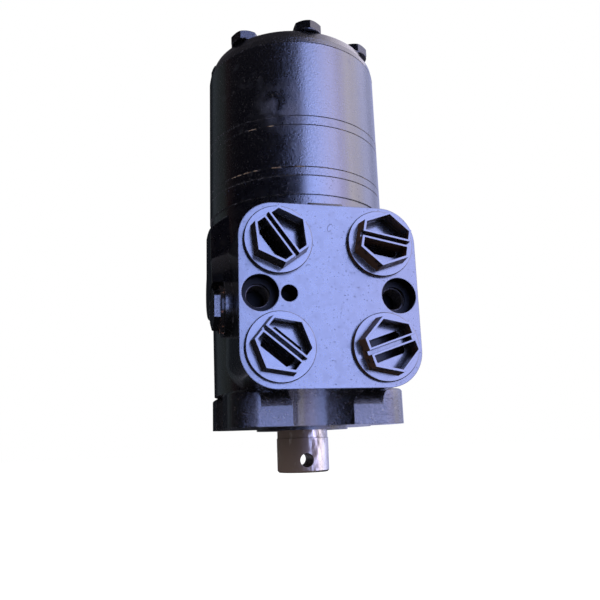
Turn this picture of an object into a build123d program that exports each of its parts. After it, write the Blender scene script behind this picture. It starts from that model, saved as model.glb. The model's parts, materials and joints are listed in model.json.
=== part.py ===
from build123d import *
from math import acos, atan2, cos, pi, radians, sin, sqrt, tan
import os

# Orbital steering unit with two gear sets. Millimetres.
# +Z runs from the column flange up to the end cover, and the port face looks towards -Y.
# The origin is the centre of the flange's face, on the axis of the shaft.

# Stack of round parts, from the flange up
body_radius = 45.4
housing_height = 115.7
distribution_thickness = 4.3
lower_rim_height = 21.7
spacer_thickness = 4.7
upper_rim_height = 40.0
cover_thickness = 8.2
cover_land = 3.1          # side of the cover under its bevel
cover_draft = 0.5         # lean of that side
cover_bevel = 1.8
cover_edge_round = 0.8
joint_bevel = 0.25        # on the outer edges that meet at each joint of the stack

# Housing casting
flange_width = 82.8
flange_height = 16.0
flange_corner = 12.2
waist_width = 28.0        # notch between two lobes of the flange, along the flange's side
waist_depth = 6.0
cast_lower_inset = 2.0    # of the cast body under the stack's radius, at the flange
cast_upper_inset = 0.6    # and under the neck
neck_height = 9.5         # machined ring under the stack
pad_reach = 15.2          # port face, out from the stack's radius
pad_width = 80.0
pad_height = 80.4
pad_corner = 16.0
pad_back = 8.0            # the block behind the port face ends inside the round body
gusset_radius = 6.0       # hollow corner between the block and the flange
gusset_width = 56.0
rib_width = 15.4
rib_height = 2.4
rib_front_set_back = 0.8
rib_front_lean = 3.0
rib_length = 14.0
column_bolt_circle = 82.5
column_bolt_hole_radius = 4.25
column_bolt_hole_depth = 13.5
pilot_radius = 22.7
pilot_height = 1.4

# Ports and holes in the port face
port_centre_z = 54.6
port_pitch = 46.0
port_hole_radius = 9.5
port_depth = 15.0
passage_radius = 4.0
passage_inset = 3.5       # each passage leaves its port nearer to the axis
passage_shift = 4.2       # and off the port's middle, so that two rings of one row stay apart
block_hole_offset = 30.9
block_hole_radius = 5.3
block_hole_depth = 20.0
counterbore_radius = 8.0
counterbore_depth = 6.4
locating_hole_x = 18.5
locating_hole_radius = 3.7
locating_hole_depth = 12.0

# Bore, its oil rings and its seats
running_clearance = 0.07
seal_clearance = 0.05
bore_radius = 19.0
oil_ring_radius = 22.5
oil_ring_width = 5.2
dust_seat_radius = 16.0
seal_seat_radius = 17.5
web_radius = 13.3
dust_seat_top = 3.0
web_top = 5.2
race_seat_z = 12.0

# Spool, its shaft end and the sleeve
shaft_radius = 12.8
shaft_end_z = -21.35
shaft_step_z = -5.1
shaft_journal_radius = 12.5
shaft_end_bevel = 0.8
cross_hole_radius = 3.25
cross_hole_z = -15.5
cross_hole_turn = 5.0     # degrees from the port side towards -X
spool_radius = 13.86
spool_bore_radius = 10.0
spool_bore_floor_z = 29.5
sleeve_wall = 5.0
pin_z = 40.0
pin_radius = 4.0
pin_fit = 0.05
steer_deflection = 8.0    # degrees that the spool turns in the sleeve, each way
deflection_room = 0.35
spool_groove_width = 2.4
metering_hole_radius = 1.2

# Thrust bearing under the sleeve
race_thickness = 2.0
roller_radius = 1.3
roller_length = 3.0
roller_count = 16
bearing_gap = 0.1
bearing_inner_radius = 13.1

# Centring springs
spring_zone_height = 6.6
spring_zone_start = 2.4   # above the sleeve's lower end
leaf_thickness = 0.6
leaf_half_span = 2.0
leaf_middle = 0.75
spring_ring_thickness = 0.85
leaf_width_gap = 0.15

# Gear sets
lobe_count = 7
lobe_inset = 12.9         # lobe centres, in from the stack's radius
lobe_radius = 6.5
eccentricity = 3.3
gear_clearance = 0.09
gear_end_gap = 0.03
points_per_tooth = 36
feed_hole_radius = 2.6
feed_hole_inset = 3.7     # in from the lobe centres

# Splines between the cardan shaft, the gear wheels and the coupling shaft
spline_teeth = 12
spline_root_radius = 8.8
spline_tip_radius = 10.4
spline_tooth_width = 2.2
cardan_flank_gap = 0.4
cardan_tip_gap = 0.5
coupling_gap = 0.08
cardan_shank_radius = 6.0
cardan_head_length = 11.5
cardan_head_start = 1.2   # above the lower gear wheel's lower face
cardan_fork_radius = 8.6
cardan_fork_top = 10.0    # above the cross pin
cardan_fork_bottom = 8.5  # below it
coupling_start = 1.8      # above the cardan head
coupling_reach = 13.0     # into the upper gear wheel
coupling_neck_radius = 8.5
orbit_room = 0.4
spacer_block_gap = 0.35

# Fasteners
bolt_inset = 7.9          # bolt centres, in from the stack's radius
bolt_radius = 4.0
bolt_hole_gap = 0.3
thread_core = 0.65        # the thread's depth, left off both the bolt and its hole
thread_fit = 0.1
bolt_engagement = 17.0
bolt_head_flats = 13.0
bolt_head_height = 4.8
bolt_head_crown = 0.95    # flat circle on top of a head, as a share of its width over the flats
bolt_head_slope = 30.0    # degrees, outside that circle
bolt_washer_radius = 7.3
bolt_washer_thickness = 0.8
bolt_head_turns = (0, 14, 41, 7, 26, 52, 22)
check_bolt_index = 3      # the one at the back carries the ball

# Stack seals
stack_seal_rim = 1.2      # land outside each groove
stack_seal_width = 1.5
stack_seal_depth = 1.2

# Plastic port plugs
plug_flange_radius = 15.0
plug_flange_thickness = 2.2
plug_flange_round = 0.4
plug_barrel_gap = 0.2
plug_barrel_length = 9.5
plug_barrel_wall = 0.8
plug_hex_radius = 13.4    # over the corners at the flange
plug_hex_draft = 1.0      # of the corners, from the flange to the rim
plug_wall = 1.0
plug_rim_height = 9.5
plug_cup_floor = 1.0      # above the port face
plug_slot_width = 1.9
plug_blade_thickness = 0.8
plug_notch_depth = 3.0
plug_pocket_width = 3.3
plug_pocket_length = 15.6
plug_turns = {"top_left": -54.0, "top_right": -11.0, "bottom_left": -39.0, "bottom_right": 19.0}

# Relief valve in the left side of the housing
relief_y = -31.5
relief_z = 53.0
relief_seat_recess = 4.6  # face under the plug's washer, in from the side boss's face
relief_boss_radius = 13.0
relief_thread_radius = 8.0
relief_thread_depth = 8.6
relief_bore_radius = 6.2
relief_bore_depth = 39.0
relief_plug_flats = 17.0
relief_plug_height = 3.3
relief_plug_bevel = 0.35
relief_washer_radius = 11.0
relief_washer_thickness = 1.5
relief_drill_radius = 2.5
relief_seat_length = 5.0
relief_cone_length = 6.0
relief_cone_radius = 4.2
relief_lift = 0.8
lift_gap = 0.1           # past the lift, to what stops it
relief_spring_wire = 1.2
relief_spring_radius = 4.0
relief_spring_length = 12.0
relief_spring_turns = 5
relief_screw_length = 6.5
relief_screw_socket = 5.0

# Cast boss and pad on the left side
side_boss_y = -16.0
side_boss_z = 66.0
side_boss_radius = 14.5   # at its face
side_boss_draft = 28.0    # degrees, wider towards the body
side_boss_reach = 2.6     # out from the stack's radius
side_pad_reach = 1.4
side_pad_drop = 1.2       # top of the pad's slope, below the neck
side_pad_slope = 5.0
side_pad_height = 26.0
side_pad_front = -14.0    # ends of the pad's flat face
side_pad_rear = 8.0
casting_round = 1.4

# Check valve in the lower right port
check_ball_radius = 3.4
check_seat_radius = 2.4
check_chamber_radius = 4.0
check_chamber_depth = 9.5
check_bushing_length = 2.5
check_bushing_hole = 1.8
check_lift = 0.6

# Radii, faces and levels that follow
cast_lower_radius = body_radius - cast_lower_inset
cast_upper_radius = body_radius - cast_upper_inset
pad_face = body_radius + pad_reach
side_boss_face = body_radius + side_boss_reach
side_pad_face = body_radius + side_pad_reach
relief_seat_x = side_boss_face - relief_seat_recess
bolt_circle_radius = body_radius - bolt_inset
lobe_circle_radius = body_radius - lobe_inset
feed_hole_circle = lobe_circle_radius - feed_hole_inset
stack_seal_outer = body_radius - stack_seal_rim
stack_seal_inner = stack_seal_outer - stack_seal_width
neck_z = housing_height - neck_height
side_pad_top = neck_z - side_pad_drop
side_pad_shoulder = side_pad_top - side_pad_slope
side_pad_low = side_pad_shoulder - side_pad_height
lower_rim_z = housing_height + distribution_thickness
spacer_z = lower_rim_z + lower_rim_height
upper_rim_z = spacer_z + spacer_thickness
cover_z = upper_rim_z + upper_rim_height
cover_top_z = cover_z + cover_thickness
head_seat_z = cover_top_z + bolt_washer_thickness
bearing_top_z = race_seat_z + 2 * race_thickness + 2 * roller_radius + 2 * bearing_gap
bore_top_gap = 0.3
sleeve_radius = bore_radius - running_clearance
sleeve_inner_radius = sleeve_radius - sleeve_wall
pad_top_z = port_centre_z + pad_height / 2
pad_low_z = port_centre_z - pad_height / 2
port_x = port_pitch / 2
port_low_z = port_centre_z - port_pitch / 2
port_high_z = port_centre_z + port_pitch / 2
first_bolt_angle = -90.0
bolt_step = 360.0 / lobe_count
bolt_tip_z = housing_height - bolt_engagement
bolt_core_radius = bolt_radius - thread_core
bolt_hole_radius = bolt_radius + bolt_hole_gap
cavity_radius = lobe_circle_radius + 2 * eccentricity - lobe_radius + gear_clearance
rotor_bore_tip = spline_root_radius + cardan_tip_gap
rotor_bore_root = spline_tip_radius + cardan_tip_gap
spring_low_z = bearing_top_z + spring_zone_start
spring_high_z = spring_low_z + spring_zone_height
cardan_head_z = lower_rim_z + cardan_head_start
cardan_head_middle_z = cardan_head_z + cardan_head_length / 2
coupling_low_z = cardan_head_z + cardan_head_length + coupling_start
coupling_high_z = upper_rim_z + coupling_reach
rotor_centre = (0.0, eccentricity)

os.makedirs("parts", exist_ok=True)


def keep(piece, name):
    """Label a finished piece and write it as a STEP file of the same name."""
    piece.label = name
    export_step(piece, f"parts/{name}.step")


def tube(outer, inner, low, high):
    """A plain ring between two heights."""
    with BuildPart() as ring:
        with BuildSketch(Plane.XY.offset(low)):
            Circle(outer)
            Circle(inner, mode=Mode.SUBTRACT)
        extrude(amount=high - low)
    return ring.part


def soft_ring(outer, inner, low, high, rounding):
    """A rubber ring that fills its groove, with rounded edges."""
    with BuildPart() as ring:
        with BuildSketch(Plane.XY.offset(low)):
            Circle(outer)
            Circle(inner, mode=Mode.SUBTRACT)
        extrude(amount=high - low)
        fillet(ring.edges(), radius=rounding)
    return ring.part


def port_positions():
    """Port name, X and Z of each of the four ports."""
    return (
        ("top_left", -port_x, port_high_z),
        ("top_right", port_x, port_high_z),
        ("bottom_left", -port_x, port_low_z),
        ("bottom_right", port_x, port_low_z),
    )


def passage_place(name, x, z):
    """X and Z of the drilled passage behind a port."""
    inward = -passage_inset if x > 0 else passage_inset
    shift = passage_shift if name.endswith("left") else -passage_shift
    return x + inward, z + shift


def touching_point(x, y, radius, side):
    """Where a line from a point outside a circle about the axis touches that circle."""
    turn = atan2(y, x) + side * acos(radius / sqrt(x ** 2 + y ** 2))
    return radius * cos(turn), radius * sin(turn)


# Cast pad on the left side, which runs out onto the round body at both ends and at its top
with BuildPart() as side_pad:
    inner_end = -oil_ring_radius - sleeve_wall
    front_end = touching_point(-side_pad_face, side_pad_front, cast_lower_radius, 1)
    rear_end = touching_point(-side_pad_face, side_pad_rear, cast_lower_radius, -1)
    with BuildSketch(Plane.XY.offset(side_pad_low)):
        with BuildLine():
            Polyline(
                (-side_pad_face, side_pad_front),
                front_end,
                (inner_end, 0),
                rear_end,
                (-side_pad_face, side_pad_rear),
                close=True,
            )
        make_face()
    extrude(amount=side_pad_top - side_pad_low)
    with BuildSketch(Plane.XZ):
        with BuildLine():
            Polyline(
                (side_pad_face + side_pad_slope, side_pad_shoulder - side_pad_slope),
                (side_pad_face + side_pad_slope, side_pad_top),
                (side_pad_face - side_pad_slope, side_pad_top),
                (side_pad_face, side_pad_shoulder),
                close=True,
            )
        make_face()
    revolve(axis=Axis.Z, mode=Mode.SUBTRACT)
    fillet(side_pad.edges().group_by(Axis.X)[0], radius=casting_round)

# Round cast boss under it
with BuildPart() as side_boss:
    with BuildSketch(Plane.YZ.offset(-side_boss_face)):
        with Locations((side_boss_y, side_boss_z)):
            Circle(side_boss_radius)
    extrude(amount=side_boss_face - oil_ring_radius - sleeve_wall, taper=-side_boss_draft)
    fillet(side_boss.edges().group_by(Axis.X)[0], radius=casting_round)

# Housing
with BuildPart() as housing:
    waist_radius = ((waist_width / 2) ** 2 + waist_depth ** 2) / (2 * waist_depth)
    waist_centre = flange_width / 2 + waist_radius - waist_depth
    with BuildSketch():
        RectangleRounded(flange_width, flange_width, flange_corner)
        with PolarLocations(waist_centre, 4):
            Circle(waist_radius, mode=Mode.SUBTRACT)
    extrude(amount=flange_height)
    fillet(housing.edges().group_by(Axis.Z)[-1], radius=casting_round)

    # Round cast body with a little draft, and the machined neck
    with BuildSketch(Plane.XZ):
        with BuildLine():
            Polyline(
                (0, flange_height),
                (cast_lower_radius, flange_height),
                (cast_upper_radius, neck_z),
                (body_radius, neck_z),
                (body_radius, housing_height - joint_bevel),
                (body_radius - joint_bevel, housing_height),
                (0, housing_height),
                close=True,
            )
        make_face()
    revolve(axis=Axis.Z)

    # Block that carries the port face
    with BuildSketch(Plane.XZ.offset(pad_face)):
        with Locations((0, port_centre_z)):
            RectangleRounded(pad_width, pad_height, pad_corner)
    extrude(amount=pad_back - pad_face)

    # Short cast rib on top of the block, with a leaning front
    rib_front_y = rib_front_set_back - pad_face
    with BuildSketch(Plane.YZ.offset(-rib_width / 2)):
        with BuildLine():
            Polyline(
                (rib_front_y, pad_top_z - rib_height),
                (rib_front_y, pad_top_z),
                (rib_front_y + rib_front_lean, pad_top_z + rib_height),
                (rib_front_y + rib_length, pad_top_z + rib_height),
                (rib_front_y + rib_length, pad_top_z - rib_height),
                close=True,
            )
        make_face()
    extrude(amount=rib_width)

    # Hollow corner between the block and the front of the flange, cut by the flange's notch
    gusset_back = gusset_radius - flange_width / 2
    gusset_front = -flange_width / 2 - gusset_radius
    with BuildSketch(Plane.YZ.offset(-gusset_width / 2)):
        with BuildLine():
            Polyline(
                (gusset_front, pad_low_z),
                (gusset_front, pad_low_z + gusset_radius),
                (gusset_back, pad_low_z + gusset_radius),
                (gusset_back, pad_low_z - gusset_radius),
                (-flange_width / 2, pad_low_z - gusset_radius),
            )
            RadiusArc(
                (-flange_width / 2, pad_low_z - gusset_radius),
                (gusset_front, pad_low_z),
                -gusset_radius,
            )
        make_face()
    extrude(amount=gusset_width)
    with BuildSketch():
        with Locations((0, -waist_centre)):
            Circle(waist_radius)
    extrude(amount=pad_low_z, mode=Mode.SUBTRACT)

    # Cast pad and bosses on the left side
    add(side_pad.part)
    add(side_boss.part)
    with BuildSketch(Plane.YZ.offset(-relief_seat_x)):
        with Locations((relief_y, relief_z)):
            Circle(relief_boss_radius)
    extrude(amount=relief_boss_radius)

    # Pilot spigot for the steering column
    with BuildSketch(Plane.XY.offset(-pilot_height)):
        Circle(pilot_radius)
    extrude(amount=pilot_height)

    # Main bore with the seats of the seals and of the thrust bearing
    with BuildSketch(Plane.XZ):
        with BuildLine():
            Polyline(
                (0, -pilot_height),
                (dust_seat_radius, -pilot_height),
                (dust_seat_radius, dust_seat_top),
                (web_radius, dust_seat_top),
                (web_radius, web_top),
                (seal_seat_radius, web_top),
                (seal_seat_radius, race_seat_z),
                (bore_radius, race_seat_z),
                (bore_radius, housing_height),
                (0, housing_height),
                close=True,
            )
        make_face()
    revolve(axis=Axis.Z, mode=Mode.SUBTRACT)

    # Ports, the passages behind them and the oil rings that these reach
    for port_name, x, z in port_positions():
        with BuildSketch(Plane.XZ.offset(pad_face)):
            with Locations((x, z)):
                Circle(port_hole_radius)
        extrude(amount=-port_depth, mode=Mode.SUBTRACT)
        passage_x, passage_z = passage_place(port_name, x, z)
        reach = sqrt(oil_ring_radius ** 2 - passage_x ** 2)
        passage_size = check_seat_radius if port_name == "bottom_right" else passage_radius
        with BuildSketch(Plane.XZ.offset(pad_face - port_depth)):
            with Locations((passage_x, passage_z)):
                Circle(passage_size)
        extrude(amount=reach - passage_size - pad_face + port_depth, mode=Mode.SUBTRACT)
        with BuildSketch(Plane.XY.offset(passage_z - oil_ring_width / 2)):
            Circle(oil_ring_radius)
        extrude(amount=oil_ring_width, mode=Mode.SUBTRACT)

    # Valve chamber under the lower right port
    with BuildSketch(Plane.XZ.offset(pad_face - port_depth)):
        with Locations(passage_place("bottom_right", port_x, port_low_z)):
            Circle(check_chamber_radius)
    extrude(amount=-check_chamber_depth, mode=Mode.SUBTRACT)

    # Two counterbored holes for a valve block, and the small locating hole between them
    with BuildSketch(Plane.XZ.offset(pad_face)):
        with Locations((-block_hole_offset, port_centre_z), (block_hole_offset, port_centre_z)):
            Circle(block_hole_radius)
    extrude(amount=-block_hole_depth, mode=Mode.SUBTRACT)
    with BuildSketch(Plane.XZ.offset(pad_face)):
        with Locations((-block_hole_offset, port_centre_z), (block_hole_offset, port_centre_z)):
            Circle(counterbore_radius)
    extrude(amount=-counterbore_depth, mode=Mode.SUBTRACT)
    with BuildSketch(Plane.XZ.offset(pad_face)):
        with Locations((-locating_hole_x, port_centre_z)):
            Circle(locating_hole_radius)
    extrude(amount=-locating_hole_depth, mode=Mode.SUBTRACT)

    # Tapped holes for the steering column and for the stack's bolts
    with BuildSketch():
        with PolarLocations(column_bolt_circle / 2, 4, start_angle=45):
            Circle(column_bolt_hole_radius)
    extrude(amount=column_bolt_hole_depth, mode=Mode.SUBTRACT)
    with BuildSketch(Plane.XY.offset(housing_height)):
        with PolarLocations(bolt_circle_radius, lobe_count, start_angle=first_bolt_angle):
            Circle(bolt_core_radius + thread_fit)
    extrude(amount=-bolt_engagement - bolt_radius, mode=Mode.SUBTRACT)

    # Groove for the first stack seal
    with BuildSketch(Plane.XY.offset(housing_height)):
        Circle(stack_seal_outer)
        Circle(stack_seal_inner, mode=Mode.SUBTRACT)
    extrude(amount=-stack_seal_depth, mode=Mode.SUBTRACT)

    # Relief valve: spot face, thread, spring bore and the drillings to the lower right passage
    relief_chamber_end = relief_seat_x - relief_bore_depth
    with BuildSketch(Plane.YZ.offset(-side_boss_face)):
        with Locations((relief_y, relief_z)):
            Circle(relief_boss_radius)
    extrude(amount=side_boss_face - relief_seat_x, mode=Mode.SUBTRACT)
    with BuildSketch(Plane.YZ.offset(-relief_seat_x)):
        with Locations((relief_y, relief_z)):
            Circle(relief_thread_radius + thread_fit)
    extrude(amount=relief_thread_depth, mode=Mode.SUBTRACT)
    with BuildSketch(Plane.YZ.offset(-relief_seat_x)):
        with Locations((relief_y, relief_z)):
            Circle(relief_bore_radius)
    extrude(amount=relief_bore_depth, mode=Mode.SUBTRACT)
    drain_x, drain_z = passage_place("bottom_right", port_x, port_low_z)
    with BuildSketch(Plane.YZ.offset(-relief_chamber_end)):
        with Locations((relief_y, relief_z)):
            Circle(relief_drill_radius)
    extrude(amount=relief_chamber_end + drain_x, mode=Mode.SUBTRACT)
    with BuildSketch(Plane.XY.offset(drain_z)):
        with Locations((drain_x, relief_y)):
            Circle(relief_drill_radius)
    extrude(amount=relief_z - drain_z, mode=Mode.SUBTRACT)
keep(housing.part, "housing")


# Seals of the shaft, which run on its journal
seal_inner = shaft_journal_radius + seal_clearance
with BuildPart() as shaft_seal:
    with BuildSketch(Plane.XZ):
        with BuildLine():
            Polyline(
                (seal_inner, web_top),
                (seal_seat_radius - seal_clearance, web_top),
                (seal_seat_radius - seal_clearance, race_seat_z - leaf_thickness),
                (seal_inner + 2.4, race_seat_z - leaf_thickness),
                (seal_inner + 1.6, web_top + 2.0),
                (seal_inner, web_top + 1.6),
                close=True,
            )
        make_face()
    revolve(axis=Axis.Z)
keep(shaft_seal.part, "shaft_seal")

with BuildPart() as dust_seal:
    with BuildSketch(Plane.XZ):
        with BuildLine():
            Polyline(
                (seal_inner, -pilot_height + 0.3),
                (seal_inner + 0.9, -pilot_height + 0.3),
                (seal_inner + 1.6, -pilot_height + 1.6),
                (dust_seat_radius - seal_clearance, -pilot_height + 0.6),
                (dust_seat_radius - seal_clearance, dust_seat_top),
                (seal_inner, dust_seat_top),
                close=True,
            )
        make_face()
    revolve(axis=Axis.Z)
keep(dust_seal.part, "dust_seal")


# Thrust bearing
race_outer_radius = bore_radius - 2 * running_clearance
cage_middle_z = race_seat_z + race_thickness + bearing_gap + roller_radius
roller_middle_radius = (race_outer_radius + bearing_inner_radius) / 2
keep(tube(race_outer_radius, bearing_inner_radius, race_seat_z, race_seat_z + race_thickness),
     "bearing_outer_race")
keep(tube(race_outer_radius, bearing_inner_radius, bearing_top_z - race_thickness, bearing_top_z),
     "bearing_inner_race")

with BuildPart() as bearing_cage:
    with BuildSketch(Plane.XY.offset(cage_middle_z - roller_radius / 2)):
        Circle(race_outer_radius - 2 * bearing_gap)
        Circle(bearing_inner_radius + 2 * bearing_gap, mode=Mode.SUBTRACT)
        with PolarLocations(roller_middle_radius, roller_count):
            Rectangle(roller_length + bearing_gap, 2 * (roller_radius + bearing_gap), mode=Mode.SUBTRACT)
    extrude(amount=roller_radius)
keep(bearing_cage.part, "bearing_cage")

with BuildPart() as bearing_rollers:
    for index in range(roller_count):
        turn = 2 * pi * index / roller_count
        outward = (cos(turn), sin(turn), 0)
        start = (roller_middle_radius - roller_length / 2)
        roller_plane = Plane(origin=(start * cos(turn), start * sin(turn), cage_middle_z), z_dir=outward)
        with BuildSketch(roller_plane):
            Circle(roller_radius)
        extrude(amount=roller_length)
keep(bearing_rollers.part, "bearing_rollers")


# Sleeve
sleeve_top_z = housing_height - bore_top_gap
ring_groove_radius = sleeve_radius - spring_ring_thickness - running_clearance
leaf_tip_radius = ring_groove_radius - leaf_width_gap
with BuildPart() as sleeve:
    with BuildSketch(Plane.XY.offset(bearing_top_z)):
        Circle(sleeve_radius)
        Circle(sleeve_inner_radius, mode=Mode.SUBTRACT)
    extrude(amount=sleeve_top_z - bearing_top_z)
    # Holes of the cross pin
    with BuildSketch(Plane.YZ.offset(-sleeve_radius)):
        with Locations((0, pin_z)):
            Circle(pin_radius + pin_fit)
    extrude(amount=2 * sleeve_radius, mode=Mode.SUBTRACT)
    # Slots of the centring springs and the groove of their ring
    with BuildSketch(Plane.XY.offset(spring_low_z)):
        Rectangle(2 * (leaf_half_span + leaf_width_gap), 2 * sleeve_radius)
    extrude(amount=spring_zone_height, mode=Mode.SUBTRACT)
    with BuildSketch(Plane.XY.offset(spring_low_z - leaf_width_gap)):
        Circle(sleeve_radius)
        Circle(ring_groove_radius, mode=Mode.SUBTRACT)
    extrude(amount=spring_zone_height + 2 * leaf_width_gap, mode=Mode.SUBTRACT)
    # Rows of metering holes in line with the oil rings
    for row, (port_name, x, z) in enumerate(port_positions()):
        row_z = passage_place(port_name, x, z)[1]
        for index in range(lobe_count - 1):
            turn = radians(index * 360 / (lobe_count - 1) + row * 15 + 20)
            hole_plane = Plane(origin=(0, 0, row_z), z_dir=(cos(turn), sin(turn), 0))
            with BuildSketch(hole_plane):
                Circle(metering_hole_radius)
            extrude(amount=sleeve_radius, mode=Mode.SUBTRACT)
keep(sleeve.part, "sleeve")

keep(tube(sleeve_radius - running_clearance, ring_groove_radius + running_clearance,
          spring_low_z, spring_high_z), "spring_ring")

with BuildPart() as cross_pin:
    with BuildSketch(Plane.YZ.offset(-ring_groove_radius)):
        with Locations((0, pin_z)):
            Circle(pin_radius)
    extrude(amount=2 * ring_groove_radius)
    chamfer(cross_pin.edges(), length=shaft_end_bevel)
keep(cross_pin.part, "cross_pin")


with BuildPart() as centring_springs:
    # Two bowed leaves press outwards at their ends and lie against two flat leaves in the middle
    leaf_ends = leaf_half_span - leaf_thickness
    with BuildSketch(Plane.XY.offset(spring_low_z + leaf_width_gap)):
        for side in (1, -1):
            with BuildLine():
                near = ThreePointArc(
                    (side * leaf_ends, -leaf_tip_radius),
                    (side * leaf_middle, 0),
                    (side * leaf_ends, leaf_tip_radius),
                )
                far = ThreePointArc(
                    (side * (leaf_ends + leaf_thickness), -leaf_tip_radius),
                    (side * (leaf_middle + leaf_thickness), 0),
                    (side * (leaf_ends + leaf_thickness), leaf_tip_radius),
                )
                Line(near @ 0, far @ 0)
                Line(near @ 1, far @ 1)
            make_face()
        with Locations((leaf_middle / 2, 0), (-leaf_middle / 2, 0)):
            Rectangle(leaf_thickness, 2 * leaf_tip_radius)
    extrude(amount=spring_zone_height - 2 * leaf_width_gap)
keep(centring_springs.part, "centring_springs")


# Spool and its shaft end
deflection_travel = spool_radius * sin(radians(steer_deflection))
with BuildPart() as spool:
    shoulder_z = bearing_top_z + 2 * bearing_gap
    spool_top_z = sleeve_top_z - bearing_gap
    with BuildSketch(Plane.XZ):
        with BuildLine():
            Polyline(
                (0, shaft_end_z),
                (shaft_radius - shaft_end_bevel, shaft_end_z),
                (shaft_radius, shaft_end_z + shaft_end_bevel),
                (shaft_radius, shaft_step_z),
                (shaft_journal_radius, shaft_step_z),
                (shaft_journal_radius, shoulder_z),
                (spool_radius, shoulder_z),
                (spool_radius, spool_top_z),
                (spool_bore_radius, spool_top_z),
                (spool_bore_radius, spool_bore_floor_z),
                (0, spool_bore_floor_z),
                close=True,
            )
        make_face()
    revolve(axis=Axis.Z)
    # Cross hole for the column's locking pin
    away = radians(cross_hole_turn)
    hole_plane = Plane(origin=(0, 0, cross_hole_z), z_dir=(-sin(away), -cos(away), 0))
    with BuildSketch(hole_plane):
        Circle(cross_hole_radius)
    extrude(amount=shaft_radius, both=True, mode=Mode.SUBTRACT)
    # Slot of the cross pin, longer round the spool so that it lets the spool turn in the sleeve
    with BuildSketch(Plane.YZ.offset(-spool_radius)):
        with Locations((0, pin_z)):
            Rectangle(
                2 * (pin_radius + deflection_travel + deflection_room),
                2 * (pin_radius + deflection_room),
            )
    extrude(amount=2 * spool_radius, mode=Mode.SUBTRACT)
    # Slot of the centring springs
    with BuildSketch(Plane.XY.offset(spring_low_z)):
        Rectangle(2 * (leaf_half_span + deflection_travel + deflection_room), 2 * spool_radius)
    extrude(amount=spring_zone_height, mode=Mode.SUBTRACT)
    # Oil grooves milled along the spool
    for index in range(lobe_count - 1):
        turn = radians(index * 360 / (lobe_count - 1) + 10)
        groove_plane = Plane(origin=(0, 0, port_centre_z), x_dir=(0, 0, 1), z_dir=(cos(turn), sin(turn), 0))
        with BuildSketch(groove_plane.offset(spool_radius - thread_core)):
            SlotOverall(port_pitch / 2, spool_groove_width)
        extrude(amount=thread_core * 2, mode=Mode.SUBTRACT)
keep(spool.part, "spool")


# Gear sets
def rotor_point(turn):
    """Point of the gear wheel's flank: the path of a lobe's centre, moved in by the lobe's radius."""
    path_x = lobe_circle_radius * cos(turn) - eccentricity * cos(lobe_count * turn)
    path_y = lobe_circle_radius * sin(turn) - eccentricity * sin(lobe_count * turn)
    slope_x = -lobe_circle_radius * sin(turn) + lobe_count * eccentricity * sin(lobe_count * turn)
    slope_y = lobe_circle_radius * cos(turn) - lobe_count * eccentricity * cos(lobe_count * turn)
    length = sqrt(slope_x ** 2 + slope_y ** 2)
    inset = lobe_radius + gear_clearance
    return path_x - inset * slope_y / length, path_y + inset * slope_x / length


def gear_rim(low, height, seal_at_top):
    """Outer gear ring with its lobes, bolt holes and seal grooves."""
    with BuildPart() as rim:
        with BuildSketch(Plane.XY.offset(low)):
            Circle(body_radius)
            Circle(cavity_radius, mode=Mode.SUBTRACT)
            with PolarLocations(lobe_circle_radius, lobe_count, start_angle=first_bolt_angle):
                Circle(lobe_radius)
            with PolarLocations(bolt_circle_radius, lobe_count, start_angle=first_bolt_angle):
                Circle(bolt_hole_radius, mode=Mode.SUBTRACT)
        extrude(amount=height)
        chamfer(rim.edges().filter_by(GeomType.CIRCLE).sort_by(SortBy.RADIUS)[-2:], length=joint_bevel)
        with BuildSketch(Plane.XY.offset(low)):
            Circle(stack_seal_outer)
            Circle(stack_seal_inner, mode=Mode.SUBTRACT)
        extrude(amount=stack_seal_depth, mode=Mode.SUBTRACT)
        if seal_at_top:
            with BuildSketch(Plane.XY.offset(low + height)):
                Circle(stack_seal_outer)
                Circle(stack_seal_inner, mode=Mode.SUBTRACT)
            extrude(amount=-stack_seal_depth, mode=Mode.SUBTRACT)
    return rim.part


def gear_wheel(low, height):
    """Inner gear wheel with its splined bore, at its place in mesh."""
    tooth_points = points_per_tooth * (lobe_count - 1)
    flank = [rotor_point(2 * pi * index / tooth_points) for index in range(tooth_points)]
    with BuildPart() as wheel:
        wheel_plane = Plane(origin=(rotor_centre[0], rotor_centre[1], low + gear_end_gap))
        with BuildSketch(wheel_plane):
            with BuildLine():
                Spline(*flank, periodic=True)
            make_face()
            Circle(rotor_bore_tip, mode=Mode.SUBTRACT)
            with PolarLocations((rotor_bore_tip + rotor_bore_root) / 2, spline_teeth):
                Rectangle(
                    rotor_bore_root - rotor_bore_tip + cardan_tip_gap,
                    spline_tooth_width + 2 * cardan_flank_gap,
                    mode=Mode.SUBTRACT,
                )
        extrude(amount=height - 2 * gear_end_gap)
    return wheel.part


def stack_plate(low, height, centre_hole, feed_holes):
    """Ground plate between two rings, with bolt holes and feed holes to the gear pockets."""
    with BuildPart() as plate:
        with BuildSketch(Plane.XY.offset(low)):
            Circle(body_radius)
            Circle(centre_hole, mode=Mode.SUBTRACT)
            with PolarLocations(bolt_circle_radius, lobe_count, start_angle=first_bolt_angle):
                Circle(bolt_hole_radius, mode=Mode.SUBTRACT)
            if feed_holes:
                between_bolts = first_bolt_angle + bolt_step / 2
                with PolarLocations(feed_hole_circle, lobe_count, start_angle=between_bolts):
                    Circle(feed_hole_radius, mode=Mode.SUBTRACT)
        extrude(amount=height)
        chamfer(plate.edges().filter_by(GeomType.CIRCLE).sort_by(SortBy.RADIUS)[-2:], length=joint_bevel)
    return plate.part


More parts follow.
